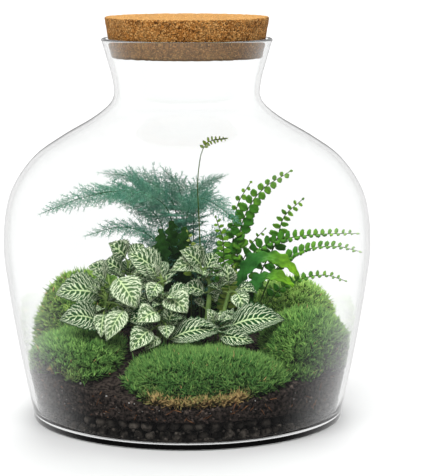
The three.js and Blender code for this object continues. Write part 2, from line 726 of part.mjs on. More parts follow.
/** Broad strap leaves with waved edges, and the dark upright leaves behind them. */
function addStrapLeaves() {
  const leaves = {
    wavy_leaf_upper: {
      at: [40, -5], color: COLOURS.strap, width: 13,
      path: [[41, -7, 106], [51, -9, 120], [66, -12, 123], [79, -15, 116], [84, -16, 109]],
      facing: [0, -0.6, 0.8],
    },
    wavy_leaf_lower: {
      at: [45, -14], color: COLOURS.strap, width: 11,
      path: [[48, -17, 98], [58, -20, 109], [69, -25, 111], [80, -29, 104]],
      facing: [0, -0.6, 0.8],
    },
    dark_leaf_left: {
      at: [-15, 2], color: COLOURS.dark, width: 14,
      path: [[-18, 1, 108], [-19, -1, 126], [-20, -1, 144]], facing: [0, -1, 0.2],
    },
    dark_leaf_middle: {
      at: [-10, 10], color: COLOURS.dark, width: 14,
      path: [[-11, 10, 110], [-11, 9, 130], [-12, 8, 149]], facing: [0, -1, 0.2],
    },
    dark_leaf_right: {
      at: [-4, 2], color: COLOURS.dark, width: 14,
      path: [[-3, 2, 108], [-3, 2, 126], [-2, 3, 145]], facing: [0, -1, 0.2],
    },
  };
  for (const [name, { at, color, path, ...rest }] of Object.entries(leaves)) {
    place(name, strapLeaf({ path: [...foot(...at, 1), ...path], ...rest }), color, 0.5);
  }
}

/** The asparagus fern's sprays. */
function addAsparagus() {
  const sprays = {
    asparagus_spray_left: {
      at: [-9, 22],
      path: [[-10, 22, 130], [-15, 18, 156], [-30, 6, 170], [-54, -8, 174], [-80, -18, 170], [-105, -25, 161]],
      from: 0.48, pairs: 11, reach: 24, seed: 21,
    },
    asparagus_spray_right: {
      at: [-1, 26], path: [[-1, 27, 130], [1, 20, 156], [10, 9, 166], [22, -4, 163], [36, -17, 153]],
      from: 0.6, pairs: 8, reach: 19, seed: 22,
    },
    asparagus_spray_top_left: {
      at: [-5, 36], path: [[-7, 38, 130], [-11, 40, 158], [-25, 37, 173], [-45, 33, 181], [-63, 30, 184]],
      from: 0.62, pairs: 7, reach: 20, seed: 23,
    },
    asparagus_spray_low_left: {
      at: [-16, 16], path: [[-18, 16, 110], [-24, 12, 131], [-36, 2, 142], [-53, -7, 146], [-72, -14, 142]],
      from: 0.5, pairs: 8, reach: 17, seed: 24,
    },
    asparagus_spray_top_right: {
      at: [5, 36], path: [[5, 38, 130], [6, 38, 160], [12, 34, 174], [26, 27, 181]],
      from: 0.66, pairs: 6, reach: 18, seed: 25,
    },
    asparagus_spray_low_right: {
      at: [12, 26], path: [[13, 26, 106], [15, 25, 126], [22, 22, 136], [36, 17, 138]],
      from: 0.55, pairs: 6, reach: 14, seed: 26,
    },
    asparagus_spray_top: {
      at: [-2, 48], path: [[-3, 52, 130], [-4, 55, 158], [-9, 53, 174], [-17, 51, 184]],
      from: 0.68, pairs: 6, reach: 18, seed: 28,
    },
    asparagus_spray_back: {
      at: [-14, 46], path: [[-16, 48, 120], [-24, 52, 146], [-44, 56, 160], [-70, 56, 164]],
      from: 0.55, pairs: 8, reach: 20, seed: 27,
    },
  };
  for (const [name, { at, path, ...rest }] of Object.entries(sprays)) {
    place(name, asparagusSpray({ path: [...foot(...at, 1), ...path], ...rest }), COLOURS.asparagus, 0.6);
  }
}

addJar();
addCork();
addPebbles();
addMoss();
addFittonia();
addFerns();
addStrapLeaves();
addAsparagus();
place('soil', plainSoil.subtract(join(holes)), COLOURS.soil, 1);

export default terrarium;
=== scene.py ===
"""Planted glass terrarium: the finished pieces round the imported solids, and a plain studio.

Lengths are in millimetres, and present() turns them into metres. The jar stands on the floor
with its axis on Z, and the viewer of its front looks along +Y.
"""
import logging
import math
import random
from collections.abc import Iterable, Sequence
from dataclasses import dataclass, field
from enum import Enum

import bmesh
import bpy
from mathutils import Matrix, Vector, noise


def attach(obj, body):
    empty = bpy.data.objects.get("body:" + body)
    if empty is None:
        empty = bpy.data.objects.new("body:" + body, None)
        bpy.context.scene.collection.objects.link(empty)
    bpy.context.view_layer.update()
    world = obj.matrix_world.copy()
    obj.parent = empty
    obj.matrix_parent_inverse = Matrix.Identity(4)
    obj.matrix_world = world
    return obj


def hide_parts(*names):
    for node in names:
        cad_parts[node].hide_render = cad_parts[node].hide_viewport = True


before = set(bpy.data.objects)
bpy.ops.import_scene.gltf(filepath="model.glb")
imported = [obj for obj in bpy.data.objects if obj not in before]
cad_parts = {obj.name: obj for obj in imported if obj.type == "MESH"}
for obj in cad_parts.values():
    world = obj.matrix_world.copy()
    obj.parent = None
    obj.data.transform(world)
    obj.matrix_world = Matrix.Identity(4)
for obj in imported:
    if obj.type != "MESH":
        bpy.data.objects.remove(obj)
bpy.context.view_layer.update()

LOG = logging.getLogger("terrarium")
MM = 0.001
TURN = 2 * math.pi
UP = Vector((0, 0, 1))
BLADE_SKIN = 0
STALK_SKIN = 1

Pair = tuple[float, float]
Point = tuple[float, float, float]
Colour = tuple[float, float, float]
Socket = bpy.types.NodeSocket
Feed = float | Sequence[float] | Socket


def ease(low: float, high: float, value: float) -> float:
    """A smooth step from 0 at low to 1 at high.

    Args:
        low: The value where the step starts.
        high: The value where it ends.
        value: The value to read.

    Returns:
        A share from 0 to 1.
    """
    share = min(1.0, max(0.0, (value - low) / (high - low)))
    return share * share * (3 - 2 * share)


class Path:
    """A smooth line through points, walked by its share of length."""

    def __init__(self, points: Iterable[Sequence[float]], even: bool = False, steps: int = 14) -> None:
        """Samples the line.

        Args:
            points: The points that the line passes through.
            even: Whether each stretch counts alike, whatever its length.
            steps: Samples in each stretch.
        """
        guides = [Vector((*point, 0.0)[:3]) for point in points]
        first = guides[0] if even else 2 * guides[0] - guides[1]
        last = guides[-1] if even else 2 * guides[-1] - guides[-2]
        line = [first, *guides, last]
        self.spots: list[Vector] = [guides[0]]
        for start in range(len(guides) - 1):
            before, here, there, after = line[start:start + 4]
            gaps = [1.0 if even else max(math.sqrt((b - a).length), 1e-4)
                    for a, b in ((before, here), (here, there), (there, after))]
            leave = ((here - before) / gaps[0] - (there - before) / (gaps[0] + gaps[1])) * gaps[1]
            leave += there - here
            reach = ((after - there) / gaps[2] - (after - here) / (gaps[1] + gaps[2])) * gaps[1]
            reach += there - here
            for step in range(1, steps + 1):
                t = step / steps
                self.spots.append(
                    here * (2 * t**3 - 3 * t**2 + 1) + leave * (t**3 - 2 * t**2 + t)
                    + there * (3 * t**2 - 2 * t**3) + reach * (t**3 - t**2))
        self.marks = [0.0]
        for a, b in zip(self.spots, self.spots[1:]):
            self.marks.append(self.marks[-1] + (b - a).length)

    @property
    def length(self) -> float:
        """The whole length."""
        return self.marks[-1]

    def _stretch(self, share: float) -> tuple[int, float]:
        """The sample before a share, and how far past it the share lies.

        Args:
            share: The share of the length.

        Returns:
            The sample's number, and the share of the way from it to the next.
        """
        goal = min(max(share, 0.0), 1.0) * self.length
        low, high = 0, len(self.marks) - 2
        while low < high:
            middle = (low + high + 1) // 2
            low, high = (middle, high) if self.marks[middle] <= goal else (low, middle - 1)
        return low, (goal - self.marks[low]) / max(self.marks[low + 1] - self.marks[low], 1e-6)

    def at(self, share: float) -> Vector:
        """The point at a share of the length."""
        index, part = self._stretch(share)
        return self.spots[index].lerp(self.spots[index + 1], part)

    def heading(self, share: float) -> Vector:
        """The direction of travel at a share of the length."""
        nudge = 0.01
        return (self.at(share + nudge) - self.at(share - nudge)).normalized()

    def sides(self, share: float, face: Sequence[float]) -> tuple[Vector, Vector, Vector]:
        """The directions of a leaf that lies on the path.

        Args:
            share: The share of the length.
            face: Where the leaf's upper side looks.

        Returns:
            The directions along the path, across it, and up from the leaf.
        """
        heading = self.heading(share)
        side = heading.cross(Vector(face)).normalized()
        return heading, side, side.cross(heading)

    def frame_at(self, share: float, face: Sequence[float]) -> Matrix:
        """A place on the path whose X runs along it and whose Z looks as far as it can to a side."""
        return facing_frame(self.at(share), self.heading(share), Vector(face))


def nearest(path: Path, goal: Vector, lowest: float) -> Vector:
    """The sample of a path nearest to a point, above a height."""
    spots = [spot for spot in path.spots if spot.z > lowest]
    return min(spots, key=lambda spot: (spot - goal).length)


def facing_frame(origin: Vector, along: Vector, face: Vector) -> Matrix:
    """A place whose X runs along a direction and whose Z looks as far as it can to a side.

    Args:
        origin: Where its origin lies.
        along: Where its X runs.
        face: Where its Z looks, as far as it can.

    Returns:
        The place.
    """
    x = along.normalized()
    side = x.cross(face).normalized()
    z = side.cross(x)
    y = z.cross(x)
    return Matrix.Translation(origin) @ Matrix((x, y, z)).transposed().to_4x4()


def around(radius: float, angle: float, height: float = 0.0) -> Vector:
    """The place at a radius, an angle and a height about the Z axis."""
    return Vector((radius * math.cos(angle), radius * math.sin(angle), height))


def aimed(way: Vector) -> Matrix:
    """A turn that lays Z along a direction."""
    return way.to_track_quat("Z", "X").to_matrix().to_4x4()


class Heap:
    """A growing bmesh of copies of small meshes."""

    def __init__(self) -> None:
        """Starts an empty heap."""
        self.bm = bmesh.new()

    def add(self, template: bpy.types.Mesh, place: Matrix | None = None, tone: float | None = None) -> None:
        """Adds a copy of a mesh.

        Args:
            template: The mesh to copy.
            place: Where the copy goes.
            tone: The copy's own value of the tone attribute.
        """
        copy = template.copy()
        if place is not None:
            copy.transform(place)
        if tone is not None:
            layer = copy.attributes.get("tone") or copy.attributes.new("tone", "FLOAT", "POINT")
            layer.data.foreach_set("value", [tone] * len(copy.vertices))
        self.bm.from_mesh(copy)
        bpy.data.meshes.remove(copy)


def as_mesh(name: str, bm: bmesh.types.BMesh) -> bpy.types.Mesh:
    """A bmesh turned into a mesh, and freed.

    Args:
        name: The mesh's name.
        bm: The bmesh.

    Returns:
        The mesh.
    """
    mesh = bpy.data.meshes.new(name)
    bm.to_mesh(mesh)
    bm.free()
    return mesh


def as_template(bm: bmesh.types.BMesh, skin: int = BLADE_SKIN) -> bpy.types.Mesh:
    """A bmesh as a mesh to copy, with all its faces on one of a piece's materials.

    Args:
        bm: The bmesh, which is freed.
        skin: The material's number.

    Returns:
        The mesh.
    """
    for face in bm.faces:
        face.material_index = skin
    return as_mesh("template", bm)


def present(name: str, bm: bmesh.types.BMesh, materials: Sequence[bpy.types.Material], slot: str,
            *nodes: str) -> bpy.types.Object:
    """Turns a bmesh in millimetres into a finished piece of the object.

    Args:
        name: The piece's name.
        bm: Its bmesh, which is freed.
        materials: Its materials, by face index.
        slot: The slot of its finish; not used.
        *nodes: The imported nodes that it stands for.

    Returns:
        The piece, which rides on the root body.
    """
    mesh = as_mesh(name, bm)
    mesh.transform(Matrix.Scale(MM, 4))
    for material in materials:
        mesh.materials.append(material)
    mesh.shade_smooth()
    piece = bpy.data.objects.new(name, mesh)
    bpy.context.scene.collection.objects.link(piece)
    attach(piece, "root")
    if nodes:
        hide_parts(*nodes)
    mesh.calc_loop_triangles()
    LOG.info("%s: %d triangles", name, len(mesh.loop_triangles))
    return piece


def stalk(path: Path, end: float, radii: Pair, rings: int, sides: int) -> bpy.types.Mesh:
    """A round stalk from the start of a path.

    Args:
        path: The line that it follows.
        end: The share of the path where it ends.
        radii: Its radius at the start and at the end.
        rings: Its rings.
        sides: Its sides.

    Returns:
        A closed mesh.
    """
    bm = bmesh.new()
    angle = bm.verts.layers.float.new("angle")
    ring: list[bmesh.types.BMVert] = []
    edges: list[bmesh.types.BMEdge] = []
    any_side = (0.31, -0.82, 0.47)
    for step in range(rings + 1):
        radius = radii[0] + (radii[1] - radii[0]) * step / rings
        place = path.frame_at(end * step / rings, any_side)
        if step == 0:
            made = bmesh.ops.create_circle(bm, cap_ends=True, radius=1.0, segments=sides)
            ring = made["verts"]
            edges = list(bm.edges)
        else:
            made = bmesh.ops.extrude_edge_only(bm, edges=edges)
            ring = [item for item in made["geom"] if isinstance(item, bmesh.types.BMVert)]
            edges = [item for item in made["geom"] if isinstance(item, bmesh.types.BMEdge)
                     and item.verts[0] in ring and item.verts[1] in ring]
        for vert in ring:
            if step == 0:
                vert[angle] = math.atan2(vert.co.y, vert.co.x)
            turn = vert[angle]
            vert.co = place @ Vector((0, radius * math.cos(turn), radius * math.sin(turn)))
    bmesh.ops.contextual_create(bm, geom=edges)
    bmesh.ops.recalc_face_normals(bm, faces=bm.faces)
    bm.verts.layers.float.remove(angle)
    return as_template(bm, STALK_SKIN)


@dataclass(frozen=True)
class LeafForm:
    """The form of a leaf, in shares of its length and its half width."""

    rows: int = 34
    columns: int = 18
    broadest: float = 0.87
    fullness: float = 0.7
    arch: float = 0.16
    fold: float = 0.26
    fold_curve: float = 1.4
    tip_droop: float = 0.0
    ripples: int = 0
    ripple_height: float = 0.0
    sweep: float = 0.26
    teeth: float = 0.0
    skew: float = 0.05
    unevenness: float = 0.03
    thickness: float = 0.45

    def half_width(self, share: float) -> float:
        """The half width at a share of the length, as a share of the widest."""
        return math.sin(math.pi * min(0.995, share) ** self.broadest) ** self.fullness


def leaf_template(form: LeafForm, length: float, width: float, draws: random.Random) -> bpy.types.Mesh:
    """One leaf from its base at the origin along +X, its upper side towards +Z.

    Args:
        form: Its form.
        length: Its length.
        width: Its width.
        draws: The random draws for its own unevenness.

    Returns:
        A closed thin mesh whose UV map is the share along and the share across, and whose reach
        attribute is its length.
    """
    bm = bmesh.new()
    uv = bm.loops.layers.uv.new("Blade")
    reach = bm.verts.layers.float.new("reach")
    bmesh.ops.create_grid(bm, x_segments=form.rows, y_segments=form.columns, size=0.5)
    for face in bm.faces:
        for loop in face.loops:
            loop[uv].uv = (loop.vert.co.x + 0.5, loop.vert.co.y + 0.5)
    skew = draws.uniform(-form.skew, form.skew)
    phase = draws.uniform(0, TURN)
    for vert in bm.verts:
        share, across = vert.co.x + 0.5, 2 * vert.co.y
        out = abs(across)
        half = form.half_width(share) * width / 2
        sweep = share - form.sweep * out + (0.5 / max(form.ripples, 1) if across < 0 else 0.0)
        wave = math.cos(TURN * form.ripples * sweep) if form.ripples else 0.0
        half *= 1 + form.teeth * wave * out
        rise = 4 * form.arch * length * share * (1 - share)
        rise += form.fold * half * out**form.fold_curve - form.tip_droop * length * share**3
        rise += form.ripple_height * wave * min(1.0, 3 * out) * math.sin(math.pi * share) ** 0.5
        rise += form.unevenness * width * math.sin(5 * share + 2.5 * across + phase)
        vert[reach] = length
        vert.co = Vector((share * length, across * half + skew * length * share**2, rise))
    bmesh.ops.remove_doubles(bm, verts=bm.verts, dist=0.01)
    bmesh.ops.recalc_face_normals(bm, faces=bm.faces)
    if sum(face.normal.z for face in bm.faces) < 0:
        bmesh.ops.reverse_faces(bm, faces=bm.faces)
    bmesh.ops.solidify(bm, geom=bm.faces[:], thickness=form.thickness)
    return as_template(bm)


class Nodes:
    """A node tree with short calls to add and join nodes."""

    def __init__(self, tree: bpy.types.NodeTree) -> None:
        """Keeps the tree."""
        self.tree = tree

    def feed(self, socket: Socket, value: Feed) -> None:
        """Links a socket, or sets its value.

        Args:
            socket: The socket.
            value: A socket to link, a number, a colour or a vector.
        """
        if isinstance(value, Socket):
            self.tree.links.new(value, socket)
        elif isinstance(value, (int, float)):
            socket.default_value = value
        else:
            size = len(socket.default_value)
            socket.default_value = (*value, 1.0)[:size]

    def add(self, kind: str, settings: dict[str, object] | None = None,
            **inputs: Feed) -> bpy.types.ShaderNode:
        """Adds a node; inputs are named with _ for each space.

        Args:
            kind: Its type, without the word ShaderNode.
            settings: Its settings by name.
            **inputs: What its inputs get.

        Returns:
            The node.
        """
        node = self.tree.nodes.new("ShaderNode" + kind)
        for key, value in (settings or {}).items():
            setattr(node, key, value)
        for key, value in inputs.items():
            self.feed(node.inputs[key.replace("_", " ")], value)
        return node

    def maths(self, operation: str, *values: Feed) -> Socket:
        """One sum, product or other step of arithmetic.

        Args:
            operation: The step's name.
            *values: What it works on.

        Returns:
            The result.
        """
        node = self.add("Math", {"operation": operation})
        for socket, value in zip(node.inputs, values):
            self.feed(socket, value)
        return node.outputs[0]

    def swing(self, value: Feed, gain: Feed) -> Socket:
        """A value about 0.5 as one about 0, times a gain."""
        return self.maths("MULTIPLY", self.maths("SUBTRACT", value, 0.5), gain)

    def less(self, value: Feed) -> Socket:
        """What a share leaves of 1."""
        return self.maths("SUBTRACT", 1.0, value)

    def step(self, value: Feed, low: Feed, high: Feed, start: float = 0.0, end: float = 1.0) -> Socket:
        """A smooth step of a value between two bounds.

        Args:
            value: The value.
            low: Where the step starts.
            high: Where it ends.
            start: The result before it.
            end: The result after it.

        Returns:
            The result.
        """
        node = self.add("MapRange", {"interpolation_type": "SMOOTHSTEP"}, Value=value)
        for name, bound in (("From Min", low), ("From Max", high), ("To Min", start), ("To Max", end)):
            self.feed(node.inputs[name], bound)
        return node.outputs[0]

    def mix(self, share: Feed, first: Feed, second: Feed) -> Socket:
        """Two colours mixed.

        Args:
            share: The share of the second colour.
            first: The first colour.
            second: The second colour.

        Returns:
            The colour between them.
        """
        node = self.add("Mix", {"data_type": "RGBA"})
        for index, value in ((0, share), (6, first), (7, second)):
            self.feed(node.inputs[index], value)
        return node.outputs[2]

    def noise(self, vector: Feed, scale: float, detail: float = 3.0, roughness: float = 0.55) -> Socket:
        """Cloudy noise from 0 to 1."""
        return self.add("TexNoise", Vector=vector, Scale=scale, Detail=detail,
                        Roughness=roughness).outputs["Fac"]

    def place(self) -> Socket:
        """The object's own coordinates, in metres."""
        return self.add("TexCoord").outputs["Object"]

    def value_of(self, attribute: str) -> Socket:
        """A number that the mesh carries."""
        return self.add("Attribute", {"attribute_name": attribute}).outputs["Fac"]

    def bump(self, height: Feed, distance: float, strength: float) -> Socket:
        """A normal from a height; distance is in metres."""
        return self.add("Bump", Height=height, Distance=distance, Strength=strength).outputs[0]

    def group(self, tree: bpy.types.NodeTree, **inputs: Feed) -> bpy.types.ShaderNode:
        """Places a node group.

        Args:
            tree: The group.
            **inputs: What its inputs get.

        Returns:
            Its node.
        """
        node = self.tree.nodes.new("ShaderNodeGroup")
        node.node_tree = tree
        for key, value in inputs.items():
            self.feed(node.inputs[key.replace("_", " ")], value)
        return node


class Kind(Enum):
    """What a group's socket carries."""

    NUMBER = "NodeSocketFloat"
    VECTOR = "NodeSocketVector"
    COLOUR = "NodeSocketColor"


def new_group(name: str, inputs: dict[str, Kind], outputs: dict[str, Kind]) -> tuple[
        bpy.types.NodeTree, Nodes, dict[str, Socket], dict[str, Socket]]:
    """Starts a node group.

    Args:
        name: The group's name.
        inputs: Its inputs by name.
        outputs: Its outputs by name.

    Returns:
        The group, its nodes, the sockets that bring its inputs and those that take its outputs.
    """
    tree = bpy.data.node_groups.new(name, "ShaderNodeTree")
    for way, sockets in (("INPUT", inputs), ("OUTPUT", outputs)):
        for socket, kind in sockets.items():
            tree.interface.new_socket(socket, in_out=way, socket_type=kind.value)
    nodes = Nodes(tree)
    source = tree.nodes.new("NodeGroupInput")
    sink = tree.nodes.new("NodeGroupOutput")
    return tree, nodes, dict(source.outputs.items()), dict(sink.inputs.items())


def mottle_group() -> bpy.types.NodeTree:
    """Cloudy change between two colours, with a finer grain over it.

    Returns:
        The group.
    """
    tree, nodes, source, sink = new_group(
        "Mottle",
        {"Vector": Kind.VECTOR, "Scale": Kind.NUMBER, "Low": Kind.COLOUR, "High": Kind.COLOUR,
         "Grain": Kind.NUMBER},
        {"Colour": Kind.COLOUR, "Height": Kind.NUMBER})
    fineness = 7.0
    broad = nodes.add("TexNoise", Vector=source["Vector"], Scale=source["Scale"], Detail=2.0)
    fine = nodes.add("TexNoise", Vector=source["Vector"], Detail=2.0,
                     Scale=nodes.maths("MULTIPLY", source["Scale"], fineness))
    grain = nodes.swing(fine.outputs["Fac"], source["Grain"])
    share = nodes.add("Math", {"operation": "ADD", "use_clamp": True})
    nodes.feed(share.inputs[0], nodes.step(broad.outputs["Fac"], 0.32, 0.68))
    nodes.feed(share.inputs[1], grain)
    nodes.feed(sink["Colour"], nodes.mix(share.outputs[0], source["Low"], source["High"]))
    nodes.feed(sink["Height"], fine.outputs["Fac"])
    return tree


@dataclass(frozen=True)
class NerveNet:
    """The net of a nerve plant's leaf: a midrib, and side veins that fork on their way out.

    Pairs of numbers hold at the midrib and at the edge, or where a change starts and ends.
    """

    sweep: float = 0.3
    sweep_curve: float = 1.25
    wander: float = 0.9
    wander_scale: float = 9.0
    forks: tuple[tuple[float, float, float], ...] = ((0.12, 0.55, 0.25), (0.6, 1.0, 0.12))
    vein: Pair = (0.11, 0.036)
    pale_vein: float = 0.045
    vein_edge: Pair = (0.55, 1.45)
    midrib: Pair = (0.085, 0.03)
    midrib_core: float = 0.6
    heart: Pair = (0.04, 0.42)
    rim: Pair = (0.9, 0.99)

    def group(self) -> bpy.types.NodeTree:
        """Builds the net's node group.

        Returns:
            The group.
        """
        tree, nodes, source, sink = new_group(
            "Nerve net", {"Blade": Kind.VECTOR, "Pairs": Kind.NUMBER, "Tone": Kind.NUMBER},
            {"Net": Kind.NUMBER, "Midrib": Kind.NUMBER})
        parts = nodes.add("SeparateXYZ", Vector=source["Blade"])
        share = parts.outputs["X"]
        across = nodes.swing(parts.outputs["Y"], 2.0)
        out = nodes.maths("ABSOLUTE", across)
        wander = nodes.noise(source["Blade"], self.wander_scale, 3.0)
        other_side = nodes.maths("MULTIPLY", nodes.maths("GREATER_THAN", 0.0, across), 0.5)
        sweep = nodes.maths("MULTIPLY", nodes.maths("POWER", out, self.sweep_curve), self.sweep)
        phase = nodes.maths("MULTIPLY", nodes.maths("SUBTRACT", share, sweep), source["Pairs"])
        phase = nodes.maths("ADD", phase, nodes.swing(wander, self.wander))
        apart = nodes.maths("PINGPONG", nodes.maths("ADD", phase, other_side), 0.5)
        for near, far, spread in self.forks:
            fork = nodes.step(out, near, far, 0.0, spread)
            apart = nodes.maths("ABSOLUTE", nodes.maths("SUBTRACT", apart, fork))
        width = nodes.step(out, 0.0, 0.9, *self.vein)
        width = nodes.maths("ADD", width, nodes.maths("MULTIPLY", source["Tone"], self.pale_vein))
        inner, outer = (nodes.maths("MULTIPLY", width, share_of) for share_of in self.vein_edge)
        vein = nodes.less(nodes.step(apart, inner, outer))
        rib_width = nodes.step(share, 0.0, 1.0, *self.midrib)
        midrib = nodes.less(nodes.step(out, nodes.maths("MULTIPLY", rib_width, self.midrib_core), rib_width))
        rim = nodes.step(out, *self.rim, 1.0, 0.0)
        nodes.feed(sink["Net"], nodes.maths("MULTIPLY", nodes.maths("MAXIMUM", vein, midrib), rim))
        nodes.feed(sink["Midrib"], nodes.less(nodes.step(out, *self.heart)))
        return tree


def granule_group() -> bpy.types.NodeTree:
    """Pressed granules: a value of its own for each one, and how near its border lies.

    Returns:
        The group.
    """
    tree, nodes, source, sink = new_group(
        "Granules", {"Vector": Kind.VECTOR, "Scale": Kind.NUMBER},
        {"Own": Kind.NUMBER, "Border": Kind.NUMBER})
    cell = nodes.add("TexVoronoi", Vector=source["Vector"], Scale=source["Scale"])
    edge = nodes.add("TexVoronoi", {"feature": "DISTANCE_TO_EDGE"}, Vector=source["Vector"],
                     Scale=source["Scale"])
    own = nodes.add("SeparateColor", Color=cell.outputs["Color"])
    nodes.feed(sink["Own"], own.outputs[0])
    seam = 0.12
    nodes.feed(sink["Border"], nodes.step(edge.outputs["Distance"], 0.0, seam))
    return tree


class Finishes:
    """The node groups, and a start for each material."""

    def __init__(self) -> None:
        """Builds the groups once."""
        self.mottle = mottle_group()
        self.nerve = NerveNet().group()
        self.granules = granule_group()

    @staticmethod
    def start(name: str, roughness: float, gloss: float = 0.5) -> tuple[
            bpy.types.Material, Nodes, bpy.types.ShaderNode]:
        """Starts a material.

        Args:
            name: Its name.
            roughness: Its roughness.
            gloss: How far it shines.

        Returns:
            The material, its nodes and its Principled shader.
        """
        material = bpy.data.materials.new(name)
        material.use_nodes = True
        nodes = Nodes(material.node_tree)
        shader = material.node_tree.nodes["Principled BSDF"]
        shader.inputs["Roughness"].default_value = roughness
        shader.inputs["Specular IOR Level"].default_value = gloss
        return material, nodes, shader


@dataclass(frozen=True)
class ClearGlass:
    """Clear blown glass; lamp rays pass through it."""

    tint: Colour = (0.985, 0.992, 0.989)
    lamp_tint: Colour = (0.97, 0.985, 0.98)
    index: float = 1.48

    def material(self, finishes: Finishes) -> bpy.types.Material:
        """The glass material.

        Args:
            finishes: The shared node groups.

        Returns:
            The material.
        """
        material, nodes, shader = finishes.start("clear_glass", 0.0)
        nodes.feed(shader.inputs["Base Color"], self.tint)
        shader.inputs["Transmission Weight"].default_value = 1.0
        shader.inputs["IOR"].default_value = self.index
        shade = nodes.add("BsdfTransparent", Color=self.lamp_tint)
        mix = nodes.add("MixShader", Fac=nodes.add("LightPath").outputs["Is Shadow Ray"])
        nodes.feed(mix.inputs[1], shader.outputs[0])
        nodes.feed(mix.inputs[2], shade.outputs[0])
        nodes.feed(material.node_tree.nodes["Material Output"].inputs["Surface"], mix.outputs[0])
        return material


@dataclass(frozen=True)
class PressedCork:
    """Pressed cork: granules of many browns with dark flecks between them.

    The rim of the glass and the top of the cork are heights in metres.
    """

    rim: float
    top: float
    granule: float = 640.0
    dark: Colour = (0.15, 0.052, 0.011)
    light: Colour = (0.52, 0.215, 0.045)
    bright: Colour = (0.80, 0.46, 0.16)
    pale: Colour = (0.84, 0.61, 0.42)
    fleck: Colour = (0.035, 0.012, 0.004)

    def material(self, finishes: Finishes) -> bpy.types.Material:
        """The cork material.

        Args:
            finishes: The shared node groups.

        Returns:
            The material.
        """
        material, nodes, shader = finishes.start("pressed_cork", 0.85, 0.15)
        place = nodes.place()
        coarse = nodes.group(finishes.granules, Vector=place, Scale=self.granule)
        fine = nodes.group(finishes.granules, Vector=place, Scale=self.granule * 2.0)
        height = nodes.add("SeparateXYZ", Vector=place).outputs["Z"]
        own, border = fine.outputs["Own"], coarse.outputs["Border"]
        base = nodes.mix(coarse.outputs["Own"], self.dark, self.light)
        base = nodes.mix(nodes.maths("MULTIPLY", own, 0.35), base, self.light)
        # Each layer has its measure, where it starts and ends, its strength there, and its colour.
        layers = (
            (own, (0.10, 0.24, 0.8, 0.0), self.bright),
            (own, (0.70, 0.80, 0.0, 0.92), self.fleck),
            (nodes.noise(place, 90.0, 4.0), (0.35, 0.75, 0.0, 0.25), self.bright),
            (border, (0.0, 1.0, 0.5, 0.0), self.fleck),
            # Painted reflection: below the glass's rim the cork is mixed towards pale, standing in for the
            # glass's reflection over it.
            (height, (self.rim - 0.001, self.rim, 0.3, 0.0), self.pale),
            # Painted highlight: the cork's top face is mixed towards bright, where the light from above falls
            # on it.
            (height, (self.top - 0.0006, self.top - 0.0001, 0.0, 0.35), self.bright))
        for value, bounds, colour in layers:
            base = nodes.mix(nodes.step(value, *bounds), base, colour)
        nodes.feed(shader.inputs["Base Color"], base)
        relief = nodes.maths("ADD", border, nodes.maths("MULTIPLY", fine.outputs["Border"], 0.5))
        nodes.feed(shader.inputs["Normal"], nodes.bump(relief, 0.0005, 0.6))
        return material


@dataclass(frozen=True)
class Mineral:
    """A dull mottled stuff, such as clay, soil or bark, with a value of its own for each bit."""

    name: str
    low: Colour
    high: Colour
    roughness: float = 0.9
    scale: float = 260.0
    own: float = 0.5
    own_curve: float = 0.6
    grain: float = 0.9
    relief: float = 0.0004

    def material(self, finishes: Finishes) -> bpy.types.Material:
        """The material.

        Args:
            finishes: The shared node groups.

        Returns:
            The material.
        """
        material, nodes, shader = finishes.start(self.name, self.roughness, 0.06)
        own = nodes.add("NewGeometry").outputs["Random Per Island"]
        own = nodes.maths("MULTIPLY", nodes.maths("POWER", own, self.own_curve), self.own)
        mottle = nodes.group(finishes.mottle, Vector=nodes.place(), Scale=self.scale, Low=self.low,
                             High=self.high, Grain=self.grain)
        nodes.feed(shader.inputs["Base Color"], nodes.mix(own, mottle.outputs["Colour"], self.low))
        nodes.feed(shader.inputs["Normal"], nodes.bump(mottle.outputs["Height"], self.relief, 0.7))
        return material


@dataclass(frozen=True)
class MossGreen:
    """Moss: dark at the root, green on the way up and yellow-green at the tips."""

    name: str
    # The root colour is partly the shoots' own darker bases and partly painted shade deep in the cushion.
    root: Colour
    deep: Colour
    middle: Colour
    tip: Colour
    old_share: float
    old: Colour = (0.50, 0.34, 0.145)

    def material(self, finishes: Finishes) -> bpy.types.Material:
        """The material.

        Args:
            finishes: The shared node groups.

        Returns:
            The material.
        """
        material, nodes, shader = finishes.start(self.name, 0.7, 0.06)
        along = nodes.value_of("along")
        own = nodes.add("NewGeometry").outputs["Random Per Island"]
        cloud = nodes.noise(nodes.place(), 45.0, 3.0)
        # Bright patches come first, then dark and bright shoots, bright tips, and the dry shoots.
        green = nodes.mix(nodes.step(cloud, 0.35, 0.7, 0.0, 0.5), self.middle, self.tip)
        green = nodes.mix(nodes.step(own, 0.1, 0.7), self.deep, green)
        green = nodes.mix(nodes.step(own, 0.8, 0.9), green, self.tip)
        green = nodes.mix(nodes.step(along, 0.5, 1.0, 0.0, 0.5), green, self.tip)
        dry = nodes.maths("MAXIMUM", nodes.value_of("tone"), nodes.maths("GREATER_THAN", self.old_share, own))
        green = nodes.mix(dry, green, self.old)
        # Painted shade: the lower half of each shoot, and the whole mat, fade to the near-black root colour
        # where shade falls between the shoots.
        lit = nodes.maths("MAXIMUM", nodes.step(along, 0.0, 0.55), nodes.maths("MULTIPLY", dry, 0.6))
        nodes.feed(shader.inputs["Base Color"], nodes.mix(lit, self.root, green))
        return material


